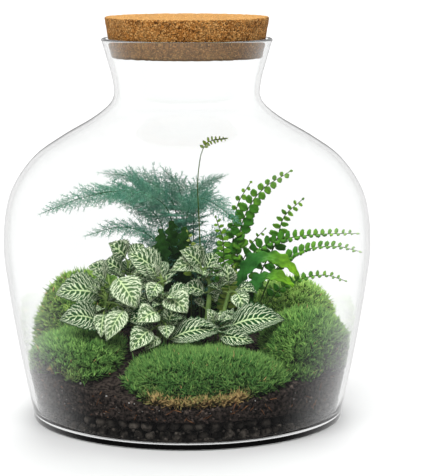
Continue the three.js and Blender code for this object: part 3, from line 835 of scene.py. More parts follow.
@dataclass(frozen=True)
class NerveLeaf:
    """A nerve plant's leaf: dark green under a net of pale veins."""

    between: Colour = (0.018, 0.105, 0.022)
    deep: Colour = (0.008, 0.046, 0.012)
    vein: Colour = (0.90, 0.98, 0.70)
    heart: Colour = (0.50, 0.70, 0.24)
    pale: Colour = (0.42, 0.60, 0.28)
    vein_gap: float = 3.6
    pair_reach: Pair = (3.0, 13.0)
    pair_range: Pair = (4.0, 11.0)
    heart_share: float = 0.55
    pale_share: float = 0.3
    relief: float = 0.0004

    def material(self, finishes: Finishes) -> bpy.types.Material:
        """The leaf material.

        Args:
            finishes: The shared node groups.

        Returns:
            The material.
        """
        material, nodes, shader = finishes.start("nerve_leaf", 0.5, 0.15)
        blade = nodes.add("UVMap", {"uv_map": "Blade"}).outputs[0]
        tone = nodes.value_of("tone")
        pairs = nodes.maths("DIVIDE", nodes.value_of("reach"), self.vein_gap)
        pairs = nodes.step(pairs, *self.pair_reach, *self.pair_range)
        net = nodes.group(finishes.nerve, Blade=blade, Tone=tone, Pairs=pairs)
        cloud = nodes.noise(nodes.place(), 160.0, 2.0)
        green = nodes.mix(cloud, self.deep, self.between)
        green = nodes.mix(nodes.maths("MULTIPLY", tone, self.pale_share), green, self.pale)
        heart = nodes.maths("MULTIPLY", net.outputs["Midrib"], self.heart_share)
        vein = nodes.mix(heart, self.vein, self.heart)
        nodes.feed(shader.inputs["Base Color"], nodes.mix(net.outputs["Net"], green, vein))
        nodes.feed(shader.inputs["Normal"], nodes.bump(net.outputs["Net"], self.relief, 0.5))
        return material


@dataclass(frozen=True)
class Foliage:
    """A plain green leaf or stalk that changes along its length and from one leaf to the next."""

    name: str
    root: Colour
    tip: Colour
    shade: Colour
    roughness: float = 0.5
    own: float = 0.5
    mottle_scale: float = 180.0
    plain_share: float = 0.55
    grain: float = 0.5
    relief: float = 0.0003

    def material(self, finishes: Finishes) -> bpy.types.Material:
        """The material.

        Args:
            finishes: The shared node groups.

        Returns:
            The material.
        """
        material, nodes, shader = finishes.start(self.name, self.roughness, 0.2)
        own = nodes.maths("MULTIPLY", nodes.add("NewGeometry").outputs["Random Per Island"], self.own)
        blend = nodes.mix(nodes.value_of("tone"), self.root, self.tip)
        mottle = nodes.group(finishes.mottle, Vector=nodes.place(), Scale=self.mottle_scale,
                             Low=self.shade, High=blend, Grain=self.grain)
        leaf = nodes.mix(self.plain_share, mottle.outputs["Colour"], blend)
        nodes.feed(shader.inputs["Base Color"], nodes.mix(own, leaf, self.shade))
        nodes.feed(shader.inputs["Normal"], nodes.bump(mottle.outputs["Height"], self.relief, 0.4))
        return material


@dataclass
class Studio:
    """The camera at the photograph's viewing angle, soft light, and a pale floor."""

    distance: float = 1493.7
    height: float = 367.4
    pitch: float = math.radians(8.787)
    image_height: float = 476.0
    focal: float = 1972.4
    axis_offset: float = 28.5
    sensor: float = 36.0
    world_light: float = 1.0
    seen_through: float = 1.20
    soft_light: float = 0.5
    mirrored: Pair = (0.10, 0.93)
    dark_side: Pair = (-0.3, 0.6)
    edge_card: Pair = (0.972, 0.995)
    edge_shade: float = 0.32
    floor_size: float = 30.0
    floor_grey: float = 0.625
    floor_roughness: float = 0.6
    suns: dict[str, tuple[Point, float, float]] = field(default_factory=lambda: {
        "key_sun": ((0.15, 0.55, -1.0), 3.4, 1.0), "top_sun": ((-0.12, -0.7, -1.0), 2.3, 0.7)})

    def build(self) -> None:
        """Sets the camera, the lights, the world and the floor."""
        self._camera()
        self._lights()
        self._floor()

    def _camera(self) -> None:
        """A level long lens that looks a little down and to the right of the jar's axis."""
        data = bpy.data.cameras.new("camera")
        data.sensor_fit = "VERTICAL"
        data.sensor_width = data.sensor_height = self.sensor
        data.lens = self.sensor * self.focal / self.image_height
        camera = bpy.data.objects.new("camera", data)
        yaw = -math.atan(self.axis_offset / self.focal)
        camera.matrix_world = (Matrix.Translation((0, -self.distance * MM, self.height * MM))
                               @ Matrix.Rotation(yaw, 4, "Z")
                               @ Matrix.Rotation(math.pi / 2 - self.pitch, 4, "X"))
        bpy.context.scene.collection.objects.link(camera)
        bpy.context.scene.camera = camera

    def _lights(self) -> None:
        """A white world that is darker where the glass mirrors it, and two broad soft suns."""
        scene = bpy.context.scene
        scene.view_settings.view_transform = "Standard"
        scene.view_settings.look = "None"
        world = bpy.data.worlds.new("studio")
        world.use_nodes = True
        nodes = Nodes(world.node_tree)
        background = world.node_tree.nodes["Background"]
        way = nodes.add("SeparateXYZ", Vector=nodes.add("TexCoord").outputs["Generated"]).outputs["Y"]
        dim, bright = self.mirrored
        room = nodes.mix(nodes.step(way, *self.dark_side), (dim,) * 3, (bright,) * 3)
        room = nodes.mix(nodes.step(way, *self.edge_card), room, (self.edge_shade,) * 3)
        rays = nodes.add("LightPath").outputs
        seen = nodes.mix(rays["Is Transmission Ray"], (self.world_light,) * 3, (self.seen_through,) * 3)
        seen = nodes.mix(nodes.maths("GREATER_THAN", rays["Glossy Depth"], 0.5), seen, room)
        scattered = nodes.maths("GREATER_THAN", rays["Diffuse Depth"], 0.5)
        nodes.feed(background.inputs["Color"], nodes.mix(scattered, seen, (self.soft_light,) * 3))
        scene.world = world
        for name, (way, strength, spread) in self.suns.items():
            data = bpy.data.lights.new(name, "SUN")
            data.energy = strength
            data.angle = spread
            lamp = bpy.data.objects.new(name, data)
            lamp.matrix_world = Vector(way).to_track_quat("-Z", "Y").to_matrix().to_4x4()
            lamp.visible_glossy = lamp.visible_transmission = False
            scene.collection.objects.link(lamp)

    def _floor(self) -> None:
        """A wide pale floor."""
        bm = bmesh.new()
        bmesh.ops.create_grid(bm, x_segments=2, y_segments=2, size=self.floor_size)
        mesh = as_mesh("floor", bm)
        material, nodes, shader = Finishes.start("pale_floor", self.floor_roughness)
        nodes.feed(shader.inputs["Base Color"], (self.floor_grey,) * 3)
        mesh.materials.append(material)
        floor = bpy.data.objects.new("floor", mesh)
        floor.visible_glossy = floor.visible_transmission = False
        bpy.context.scene.collection.objects.link(floor)


def spun(profile: Sequence[Pair], steps: int) -> bmesh.types.BMesh:
    """A profile of radius and height turned once round the Z axis.

    Args:
        profile: Points from the axis round to the axis.
        steps: Sides of the turned body.

    Returns:
        A closed bmesh with its faces outwards.
    """
    bm = bmesh.new()
    verts = [bm.verts.new((radius, 0, height)) for radius, height in profile]
    edges = [bm.edges.new(pair) for pair in zip(verts, verts[1:])]
    bmesh.ops.spin(bm, geom=verts + edges, cent=(0, 0, 0), axis=(0, 0, 1), angle=TURN, steps=steps,
                   use_merge=True)
    bmesh.ops.remove_doubles(bm, verts=bm.verts, dist=0.001)
    bmesh.ops.recalc_face_normals(bm, faces=bm.faces)
    # Turning leaves the edges in another order each run, and a body's own tone depends on their order.
    bm.verts.index_update()
    count = len(bm.verts)
    bm.edges.sort(key=lambda edge: count * min(vert.index for vert in edge.verts)
                  + max(vert.index for vert in edge.verts))
    return bm


@dataclass
class GlassJar:
    """The round-bellied jar with its flat foot ring, short neck and rounded lip.

    Each point of the side is a radius and a height. The heel's points stand out from the foot ring,
    the floor's edge rises from the floor, and the lip's points lie inside its edges and below the top.
    """

    side: tuple[Pair, ...] = (
        (119.7, 8), (129.0, 54), (137.0, 103), (140.0, 136), (135.0, 171), (118.0, 198),
        (96.0, 214.5), (70.0, 230), (56.2, 243), (56.0, 257), (60.5, 274), (63.9, 286))
    wall: float = 3.0
    top: float = 289.3
    punt: Pair = (96.0, 1.0)
    foot: Pair = (101.0, 117.4)
    foot_rise: Pair = (2.0, 0.3)
    heel: tuple[Pair, ...] = ((0.9, 0.2), (1.5, 0.6), (1.85, 1.3), (2.0, 3.6))
    floor_top: float = 3.6
    floor_flat: tuple[float, ...] = (0, 60, 106)
    floor_edge: tuple[Pair, ...] = (
        (112.5, 0.0), (114.3, 0.6), (115.6, 1.8), (116.4, 3.6), (116.8, 6.0))
    lip_outer: float = 64.8
    lip_inner: float = 61.4
    lip_depth: float = 1.6
    outer_round: tuple[Pair, ...] = ((0.0, 1.6), (0.25, 0.8), (0.9, 0.2), (1.7, 0.0))
    inner_round: tuple[Pair, ...] = ((0.9, 0.05), (0.25, 0.6))
    rows: int = 56
    sides: int = 144
    outer: list[Pair] = field(init=False)
    lip: list[Pair] = field(init=False)
    inner: list[Pair] = field(init=False)

    def __post_init__(self) -> None:
        """Works out both sides of the wall."""
        line = Path(self.side, even=True)
        outer, inner = [], []
        for row in range(self.rows + 1):
            spot, heading = line.at(row / self.rows), line.heading(row / self.rows)
            outer.append((spot.x, spot.y))
            inner.append((spot.x - self.wall * heading.y, spot.y + self.wall * heading.x))
        start, end = self.foot
        back, rise = self.foot_rise
        self.outer = [(0, self.punt[1]), (60, self.punt[1]), self.punt,
                      (start - back, rise), (start, 0), (end, 0),
                      *((end + out, height) for out, height in self.heel), *outer]
        low, high = self.floor_top, self.top
        self.inner = [*((radius, low + height) for radius, height in self.floor_edge),
                      *(spot for spot in inner if low + 7 < spot[1] < high - 3),
                      (self.lip_inner, high - self.lip_depth)]
        self.lip = [*((self.lip_outer - back, high - drop) for back, drop in self.outer_round),
                    *((self.lip_inner + out, high - drop) for out, drop in self.inner_round)]

    def inner_radius(self, height: float) -> float:
        """The inner radius at a height.

        Args:
            height: The height.

        Returns:
            The radius there.
        """
        for (r0, z0), (r1, z1) in zip(self.inner, self.inner[1:]):
            if z0 < height <= z1:
                return r0 + (r1 - r0) * (height - z0) / (z1 - z0)
        return self.inner[0][0]

    def build(self, finishes: Finishes) -> None:
        """Turns the jar.

        Args:
            finishes: The shared node groups.
        """
        floor = [(radius, self.floor_top) for radius in self.floor_flat]
        profile = [*self.outer, *self.lip, *reversed(self.inner), *reversed(floor)]
        present("clear_glass_jar", spun(profile, self.sides), [ClearGlass().material(finishes)],
                "jar_glass", "glass_jar")


@dataclass
class CorkStopper:
    """The tapered cork with its granules standing out a little."""

    jar: GlassJar
    bottom: float = 275.5
    top: float = 305.4
    bottom_radius: float = 57.5
    top_radius: float = 62.1
    chamfer: float = 1.0
    sides: int = 170
    row: float = 1.7
    granule: float = 2.6
    seam: float = 0.25
    relief: float = 0.35
    unevenness: float = 0.18

    def build(self, finishes: Finishes) -> None:
        """Turns the cork and presses its granules in.

        Args:
            finishes: The shared node groups.
        """
        low, high, chamfer = self.bottom, self.top, self.chamfer
        corners = [(0, low), (self.bottom_radius - chamfer, low), (self.bottom_radius, low + chamfer),
                   (self.top_radius, high - chamfer), (self.top_radius - chamfer, high), (0, high)]
        profile = [corners[0]]
        for (r0, z0), (r1, z1) in zip(corners, corners[1:]):
            count = max(1, round(math.hypot(r1 - r0, z1 - z0) / self.row))
            profile += [(r0 + (r1 - r0) * step / count, z0 + (z1 - z0) * step / count)
                        for step in range(1, count + 1)]
        bm = spun(profile, self.sides)
        for vert in bm.verts:
            near = noise.voronoi(vert.co / self.granule)[0]
            border = ease(0.0, self.seam, near[1] - near[0])
            rough = noise.noise(vert.co * 0.9)
            vert.co -= vert.normal * (self.relief * (1 - border) + self.unevenness * rough)
        skin = PressedCork(self.jar.top * MM, self.top * MM)
        cork = present("pressed_cork", bm, [skin.material(finishes)], "cork", "cork_stopper")
        cork.visible_glossy = False


@dataclass
class PebbleLayer:
    """The clay pebbles: rows of round ones against the glass, round a plain core."""

    jar: GlassJar
    rows: tuple[float, ...] = (9.0, 17.2)
    depth: int = 2
    radius: float = 4.8
    sizes: Pair = (0.84, 1.04)
    glass_gap: float = 0.7
    ring_step: float = 1.75
    spacing: float = 1.98
    kinds: int = 8
    grit: tuple[tuple[float, float, int], ...] = ((5.6, 1.7, 360), (8.0, 1.5, 260), (13.2, 1.6, 260))
    grit_gap: float = 0.3
    silt: tuple[float, ...] = (3.68, 4.4, 5.4, 6.8)
    silt_gap: float = 0.3
    core_reach: float = 101.0
    core_top: float = 20.6
    core_sides: int = 96
    clay: Mineral = Mineral("clay", (0.004, 0.0036, 0.0034), (0.16, 0.135, 0.115), 0.6, 160.0, 0.9)

    def build(self, finishes: Finishes) -> None:
        """Lays the pebbles.

        Args:
            finishes: The shared node groups.
        """
        draws = random.Random(31)
        heap = Heap()
        stones = [self._stone(draws, 2) for _ in range(self.kinds)]
        chips = [self._stone(draws, 1) for _ in range(self.kinds)]
        for level in range(len(self.rows)):
            for ring in range(self.depth):
                self._lay_ring(heap, stones, level, ring, draws)
        self._strew_grit(heap, chips, draws)
        heap.add(as_template(self._core()))
        present("clay_pebbles", heap.bm, [self.clay.material(finishes)], "clay_pebbles",
                "drainage_pebbles")

    def _lay_ring(self, heap: Heap, stones: list[bpy.types.Mesh], level: int, ring: int,
                  draws: random.Random) -> None:
        """Lays one ring of pebbles; each row stands half a pebble round from the next.

        Args:
            heap: The layer's heap.
            stones: The pebbles to choose from.
            level: The row.
            ring: The ring's number from the glass.
            draws: The random draws.
        """
        height = self.rows[level]
        reach = self.jar.inner_radius(height) - self.radius - self.glass_gap
        reach -= ring * self.ring_step * self.radius
        count = int(TURN * reach / (self.spacing * self.radius))
        shift = 0.5 * ((level + ring) % 2)
        for index in range(count):
            angle = (index + shift + draws.uniform(-0.12, 0.12)) * TURN / count
            size = self.radius * draws.uniform(*self.sizes)
            smaller = self.radius - size
            inward = draws.uniform(0.0, 1.2) + smaller
            spot = around(reach - inward, angle, height + draws.uniform(-0.5, 0.5) - 0.4 * smaller)
            turn = draws.uniform(0, TURN)
            axle = Vector((draws.random(), 0.4, draws.random()))
            place = Matrix.Translation(spot) @ Matrix.Rotation(turn, 4, axle)
            heap.add(draws.choice(stones), place @ Matrix.Scale(size, 4))

    def _strew_grit(self, heap: Heap, chips: list[bpy.types.Mesh], draws: random.Random) -> None:
        """Strews grit between the pebbles, against the glass.

        Args:
            heap: The layer's heap.
            chips: The bits to choose from.
            draws: The random draws.
        """
        for height, size, count in self.grit:
            for _ in range(count):
                angle = draws.uniform(0, TURN)
                own = size * draws.uniform(0.6, 1.0)
                level = height + draws.uniform(-0.6, 0.9)
                spot = around(self.jar.inner_radius(level) - own - self.grit_gap, angle, level)
                heap.add(draws.choice(chips), Matrix.Translation(spot) @ Matrix.Scale(own, 4))

    def _core(self) -> bmesh.types.BMesh:
        """The layer's plain middle, with silt at the foot of the glass.

        Returns:
            A closed bmesh.
        """
        silt = [(self.jar.inner_radius(height) - self.silt_gap, height) for height in self.silt]
        return spun([(0, self.silt[0]), *silt, (self.core_reach, self.silt[-1]),
                     (self.core_reach, self.core_top), (0, self.core_top)], self.core_sides)

    @staticmethod
    def _stone(draws: random.Random, fineness: int) -> bpy.types.Mesh:
        """A round, slightly lumpy pebble of radius 1.

        Args:
            draws: The random draws.
            fineness: How often its faces are split.

        Returns:
            The pebble.
        """
        bm = bmesh.new()
        bmesh.ops.create_icosphere(bm, subdivisions=fineness, radius=0.97)
        shift = Vector((draws.uniform(0, 99), draws.uniform(0, 99), 0))
        stretch = Vector((1.0, draws.uniform(0.84, 1.0), draws.uniform(0.8, 1.0)))
        for vert in bm.verts:
            vert.co *= 1 + 0.09 * noise.noise(vert.co * 1.3 + shift)
            vert.co = vert.co * stretch
        return as_template(bm)


@dataclass
class SoilHeap:
    """The soil: a heap with a rough face, crumbs, bark, roots and white perlite in it."""

    jar: GlassJar
    bottom: float = 21.0
    middle: float = 65.0
    level: float = 36.0
    waves: float = 4.5
    front_dip: float = 6.0
    back_rise: float = 10.0
    heap_radius: float = 45.0
    slope_end: float = 118.0
    gap: float = 0.6
    stem_rises: tuple[float, ...] = (-11, -5.5, 3)
    floor_radii: tuple[float, ...] = (0, 60, 110)
    wall_rows: int = 10
    top_rings: int = 26
    sides: int = 240
    wall_crumbs: int = 3400
    top_crumbs: int = 1000
    crumb_share: float = 0.82
    bark_share: float = 0.12
    lump_kinds: int = 6
    wall_drop: float = 1.5
    dent: Pair = (1.0, 0.9)
    rim_gap: float = 1.6
    bumps: float = 1.1
    sink: float = 0.9
    soil: Mineral = Mineral("damp_soil", (0.004, 0.0033, 0.0032), (0.20, 0.150, 0.128), 0.95, 420.0, 0.94)
    bark: Mineral = Mineral("bark_and_root", (0.07, 0.026, 0.012), (0.38, 0.18, 0.085), 0.9, 300.0, 0.6)
    white: Mineral = Mineral("perlite", (0.33, 0.31, 0.29), (0.80, 0.79, 0.77), 0.9, 700.0, 0.3)

    def edge_height(self, angle: float) -> float:
        """The soil's height at the glass.

        Args:
            angle: The angle about the axis.

        Returns:
            The height.
        """
        front, back = max(0.0, -math.sin(angle)), max(0.0, math.sin(angle))
        height = self.level + self.waves * (1 - math.cos(4 * angle))
        return height - self.front_dip * front**4 + self.back_rise * back

    def height(self, x: float, y: float) -> float:
        """The height of the smooth heap at a place.

        Args:
            x: The place's x.
            y: Its y.

        Returns:
            The height.
        """
        edge = self.edge_height(math.atan2(y, x))
        share = ease(self.heap_radius, self.slope_end, math.hypot(x, y))
        return self.middle + (edge - self.middle) * share

    def foot(self, x: float, y: float) -> list[Point]:
        """The first three points of a stem that stands in the soil."""
        top = self.height(x, y)
        return [(x, y, top + rise) for rise in self.stem_rises]

    def build(self, finishes: Finishes) -> None:
        """Makes the heap and scatters what is in it.

        Args:
            finishes: The shared node groups.
        """
        soil = self.soil.material(finishes)
        present("soil_heap", self._heap(), [soil], "soil", "soil")
        draws = random.Random(17)
        lumps = [self._lump(draws) for _ in range(self.lump_kinds)]
        splinter = self._splinter()
        crumbs, bits, specks = Heap(), Heap(), Heap()
        for index in range(self.wall_crumbs + self.top_crumbs):
            place, size = self._spot(draws, index < self.wall_crumbs)
            kind = draws.random()
            if kind < self.crumb_share:
                crumbs.add(draws.choice(lumps), place @ Matrix.Scale(size, 4))
            elif kind < self.crumb_share + self.bark_share:
                scale = Matrix.Diagonal((draws.uniform(1.2, 5.0), draws.uniform(0.3, 0.8), 0.4, 1))
                bits.add(splinter, place @ scale)
            else:
                specks.add(draws.choice(lumps), place @ Matrix.Scale(0.6 * size, 4))
        present("soil_crumbs", crumbs.bm, [soil], "soil")
        present("bark_bits", bits.bm, [self.bark.material(finishes)], "soil")
        present("perlite_specks", specks.bm, [self.white.material(finishes)], "soil")

    def _heap(self) -> bmesh.types.BMesh:
        """The heap's own body with an uneven face, which is a plain turned body moved row by row.

        Returns:
            A closed bmesh.
        """
        row = 5.0
        radii = [*self.floor_radii, *[self.slope_end] * self.wall_rows]
        radii += [self.slope_end * (1 - ring / self.top_rings) for ring in range(self.top_rings + 1)]
        bm = spun([(radius, row * index) for index, radius in enumerate(radii)], self.sides)
        for vert in bm.verts:
            angle = math.atan2(vert.co.y, vert.co.x)
            index = round(vert.co.z / row)
            vert.co = self._face(radii[index], index - len(self.floor_radii), angle)
        bmesh.ops.remove_doubles(bm, verts=bm.verts, dist=0.01)
        bmesh.ops.recalc_face_normals(bm, faces=bm.faces)
        return bm

    def _face(self, radius: float, wall_row: int, angle: float) -> Vector:
        """Where a point of the heap's body lies.

        Args:
            radius: Its radius on the plain body.
            wall_row: Its row above the floor, which is below 0 on the floor.
            angle: Its angle about the axis.

        Returns:
            The place.
        """
        if wall_row < 0:
            return around(radius, angle, self.bottom)
        edge = self.edge_height(angle)
        if wall_row < self.wall_rows:
            rise = (edge - self.wall_drop - self.bottom) * wall_row / (self.wall_rows - 1)
            height = self.bottom + rise
            dent = self.dent[0] + self.dent[1] * noise.noise(Vector((3 * angle, height, 0)) * 3)
            return around(self.jar.inner_radius(height) - self.gap - dent, angle, height)
        reach = radius / self.slope_end * (self.jar.inner_radius(edge) - self.gap - self.rim_gap)
        spot = around(reach, angle)
        spot.z = self.height(spot.x, spot.y) + self.bumps * noise.noise(spot * 0.3) - self.sink
        return spot

    def _spot(self, draws: random.Random, on_wall: bool) -> tuple[Matrix, float]:
        """A random place on the soil's face, and a crumb's size for it.

        Args:
            draws: The random draws.
            on_wall: Whether it lies against the glass.

        Returns:
            The place, and the size.
        """
        angle = draws.uniform(0, TURN)
        size = 0.65 + 2.4 * draws.random() ** 2.0
        edge = self.edge_height(angle)
        if on_wall:
            height = draws.uniform(self.bottom + 1, edge)
            radius = self.jar.inner_radius(height) - self.gap - size * 0.95
            radius -= draws.uniform(0.0, 0.7)
            lean = Matrix.Rotation(draws.uniform(-1.2, 1.2), 4, "Y")
            spin = Matrix.Rotation(angle + math.pi / 2, 4, "Z") @ lean
        else:
            reach = self.jar.inner_radius(edge) - self.gap - size
            radius = reach * math.sqrt(draws.random())
            height = self.height(radius * math.cos(angle), radius * math.sin(angle)) - 0.3
            spin = Matrix.Rotation(draws.uniform(0, TURN), 4, "Z")
        return Matrix.Translation(around(radius, angle, height)) @ spin, size

    @staticmethod
    def _lump(draws: random.Random) -> bpy.types.Mesh:
        """An uneven crumb of radius 1.

        Args:
            draws: The random draws.

        Returns:
            The crumb.
        """
        bm = bmesh.new()
        bmesh.ops.create_icosphere(bm, subdivisions=1, radius=1.0)
        for vert in bm.verts:
            vert.co *= draws.uniform(0.65, 1.0)
        return as_template(bm)

    @staticmethod
    def _splinter() -> bpy.types.Mesh:
        """A round bit of length 2 along X, which is laid as a thin splinter.

        Returns:
            The splinter.
        """
        bm = bmesh.new()
        bmesh.ops.create_icosphere(bm, subdivisions=1, radius=1.0)
        return as_template(bm)


@dataclass(frozen=True)
class Cushion:
    """One moss cushion: its node, its number of tufts, its seed, its greens and its dry spots."""

    node: str
    tufts: int
    seed: int
    tip: Colour
    middle: Colour
    old_share: float = 0.005
    dry: tuple[tuple[float, float, float], ...] = ()


@dataclass
class MossBed:
    """The moss cushions: a dark mat with fine pointed shoots all over it."""

    jar: GlassJar
    soil: SoilHeap
    cushions: tuple[Cushion, ...] = (
        Cushion("moss_front", 2100, 3, (0.205, 0.355, 0.09), (0.067, 0.207, 0.048),
                dry=((-14, -108, 18), (8, -110, 20), (30, -107, 18))),
        Cushion("moss_left", 1600, 5, (0.29, 0.51, 0.13), (0.072, 0.215, 0.046), dry=((-96, -66, 26),)),
        Cushion("moss_right", 1700, 7, (0.27, 0.47, 0.11), (0.062, 0.19, 0.038)),
        Cushion("moss_back_left", 1450, 9, (0.42, 0.60, 0.14), (0.11, 0.28, 0.05), 0.02),
        # Painted light: the back right cushion, shaded by the leaves above it, has far brighter greens than
        # the others to stand in for light.
        Cushion("moss_back_right", 1450, 13, (0.62, 0.86, 0.22), (0.30, 0.62, 0.13), 0.01),
        Cushion("moss_back", 400, 15, (0.10, 0.24, 0.03), (0.060, 0.185, 0.042)),
    )
    blades: int = 9
    blade_width: float = 1.0
    blade_length: float = 7.6
    tuft_spread: float = 3.2
    tuft_kinds: int = 8
    root_depth: float = 1.2
    mat_depth: float = 3.6
    mat_unevenness: float = 1.8
    dry_heights: Pair = (9.5, 4.0)
    outward: float = 0.75
    upward: float = 0.5
    looseness: Point = (0.3, 0.3, 0.15)
    least_room: float = 1.5
    glass_gap: float = 0.5

    def build(self, finishes: Finishes) -> None:
        """Grows every cushion.

        Args:
            finishes: The shared node groups.
        """
        draws = random.Random(71)
        tufts = [self._tuft(draws) for _ in range(self.tuft_kinds)]
        for cushion in self.cushions:
            self._grow(cushion, tufts, finishes)

    def _tuft(self, draws: random.Random) -> bpy.types.Mesh:
        """A few pointed shoots that lean out from one spot, rooted below it.

        Args:
            draws: The random draws.

        Returns:
            The tuft, whose along attribute is 1 at the tips.
        """
        bm = bmesh.new()
        along = bm.verts.layers.float.new("along")
        for _ in range(self.blades):
            length = self.blade_length * draws.uniform(0.55, 1.15)
            angle, out = draws.uniform(0, TURN), self.tuft_spread * math.sqrt(draws.random())
            lean = draws.uniform(0.2, 1.3)
            axle = Vector((-math.sin(angle + draws.uniform(-1, 1)), math.cos(angle), 0))
            place = Matrix.Translation(around(out, angle, -self.root_depth)) @ Matrix.Rotation(lean, 4, axle)
            made = bmesh.ops.create_cone(
                bm, cap_ends=True, segments=3, radius1=self.blade_width * draws.uniform(0.7, 1.1),
                radius2=0, depth=length, matrix=place @ Matrix.Translation((0, 0, length / 2)))
            tip = max(made["verts"], key=lambda vert: vert.co.z)
            tip[along] = 1.0
        return as_template(bm)

    def _mound(self, node: str, seed: int) -> bmesh.types.BMesh:
        """The cushion's body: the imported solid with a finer, uneven face.

        Args:
            node: The cushion's node.
            seed: What sets its unevenness.

        Returns:
            A bmesh of triangles.
        """
        bm = bmesh.new()
        bm.from_mesh(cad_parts[node].data)
        bmesh.ops.scale(bm, vec=(1 / MM,) * 3, verts=bm.verts)
        bmesh.ops.remove_doubles(bm, verts=bm.verts, dist=0.02)
        bmesh.ops.subdivide_edges(bm, edges=bm.edges, cuts=3, use_grid_fill=True)
        bmesh.ops.triangulate(bm, faces=bm.faces)
        for _ in range(3):
            bmesh.ops.smooth_vert(bm, verts=bm.verts, factor=0.5, use_axis_x=True, use_axis_y=True,
                                  use_axis_z=True)
        bm.normal_update()
        for vert in bm.verts:
            lump = noise.noise(vert.co * 0.16 + Vector((seed, 0, 0)))
            vert.co -= vert.normal * (self.mat_depth + self.mat_unevenness * lump)
        bm.normal_update()
        return bm

    def _grow(self, cushion: Cushion, tufts: list[bpy.types.Mesh], finishes: Finishes) -> None:
        """Plants tufts over one cushion's face.

        Args:
            cushion: The cushion.
            tufts: The tufts to choose from.
            finishes: The shared node groups.
        """
        draws = random.Random(cushion.seed)
        bm = self._mound(cushion.node, cushion.seed)
        bm.faces.ensure_lookup_table()
        faces = [face for face in bm.faces if self._bears_moss(face)]
        weights = [face.calc_area() for face in faces]
        heap = Heap()
        for face in draws.choices(faces, weights, k=cushion.tufts):
            a, b = sorted((draws.random(), draws.random()))
            corners = [vert.co for vert in face.verts]
            spot = corners[0] * a + corners[1] * (b - a) + corners[2] * (1 - b)
            grow, scale = self._lean(spot, face.normal, draws)
            spin = Matrix.Rotation(draws.uniform(0, TURN), 4, "Z")
            place = Matrix.Translation(spot) @ aimed(grow) @ spin
            above = spot.z - self.soil.height(spot.x, spot.y) + draws.uniform(-2, 2)
            dry = ease(*self.dry_heights, above) * self._dryness(cushion, spot)
            heap.add(draws.choice(tufts), place @ Matrix.Scale(scale, 4), dry)
        # The mat takes the root colour all over: painted shade under the shoots.
        heap.add(as_template(bm), tone=0.0)
        self._keep_inside(heap.bm)
        middle = Vector(cushion.middle)
        # The root colour, 0.12 of the middle green, is painted shade; the deep colour is a darker green for
        # shoots at random.
        green = MossGreen(cushion.node + "_green", tuple(0.12 * middle), tuple(0.48 * middle), cushion.middle,
                          cushion.tip, cushion.old_share)
        present(cushion.node + "_shoots", heap.bm, [green.material(finishes)], "moss", cushion.node)

    def _bears_moss(self, face: bmesh.types.BMFace) -> bool:
        """Whether a face stands clear of the soil and doesn't look down."""
        spot = face.calc_center_median()
        return face.normal.z > -0.35 and spot.z > self.soil.height(spot.x, spot.y) + 0.5

    @staticmethod
    def _dryness(cushion: Cushion, spot: Vector) -> float:
        """How dry a spot is: 1 near the middle of a dry spot and 0 away from all of them."""
        return max((ease(size, 0.4 * size, math.hypot(spot.x - x, spot.y - y))
                    for x, y, size in cushion.dry), default=0.0)

    def _keep_inside(self, bm: bmesh.types.BMesh) -> None:
        """Presses what reaches the glass flat against it.

        Args:
            bm: The cushion's bmesh.
        """
        for vert in bm.verts:
            reach = math.hypot(vert.co.x, vert.co.y)
            limit = self.jar.inner_radius(vert.co.z) - self.glass_gap
            if reach > limit:
                vert.co.x *= limit / reach
                vert.co.y *= limit / reach

    def _lean(self, spot: Vector, normal: Vector, draws: random.Random) -> tuple[Vector, float]:
        """Which way a tuft grows, and its size: upwards, outwards, and flat along the glass.

        Args:
            spot: Where the tuft is rooted.
            normal: Where the mat looks there.
            draws: The random draws.

        Returns:
            The direction, and the size.
        """
        loose = Vector([draws.gauss(0, spread) for spread in self.looseness])
        grow = (normal * self.outward + UP * self.upward + loose).normalized()
        scale = draws.uniform(0.75, 1.15)
        tip = spot + grow * self.blade_length * 1.3
        out = Vector((spot.x, spot.y, 0)).normalized()
        room = self.jar.inner_radius(tip.z) - math.hypot(tip.x, tip.y)
        if room < self.least_room:
            grow = (grow - out * (grow.dot(out) + 0.12)).normalized()
            scale *= 0.8
        return grow, scale


FRONT: Point = (0, -0.77, 0.64)
TO_LEFT: Point = (-0.6, -0.5, 0.62)
LEVEL: Point = (0, -0.35, 0.94)
BEHIND: Point = (0, 0.6, 0.8)
AHEAD: Point = (0, -0.9, 0.44)
TILTED: Point = (0, -0.6, 0.8)
OVER: Point = (0, -0.5, 0.87)


@dataclass(frozen=True)
class Leaf:
    """One leaf: its base, tip and width, how pale it is, and where its upper side looks."""

    base: Point
    tip: Point
    width: float
    tone: float = 0.25
    face: Point = FRONT


@dataclass(frozen=True)
class LeafyStem:
    """A nerve plant's stem: where it stands, its line above the soil, and its leaves."""

    node: str
    at: Pair
    radius: float
    points: tuple[Point, ...]
    leaves: tuple[Leaf, ...]
    fillers: tuple[Leaf, ...] = ()
    small_leaves: int = 13


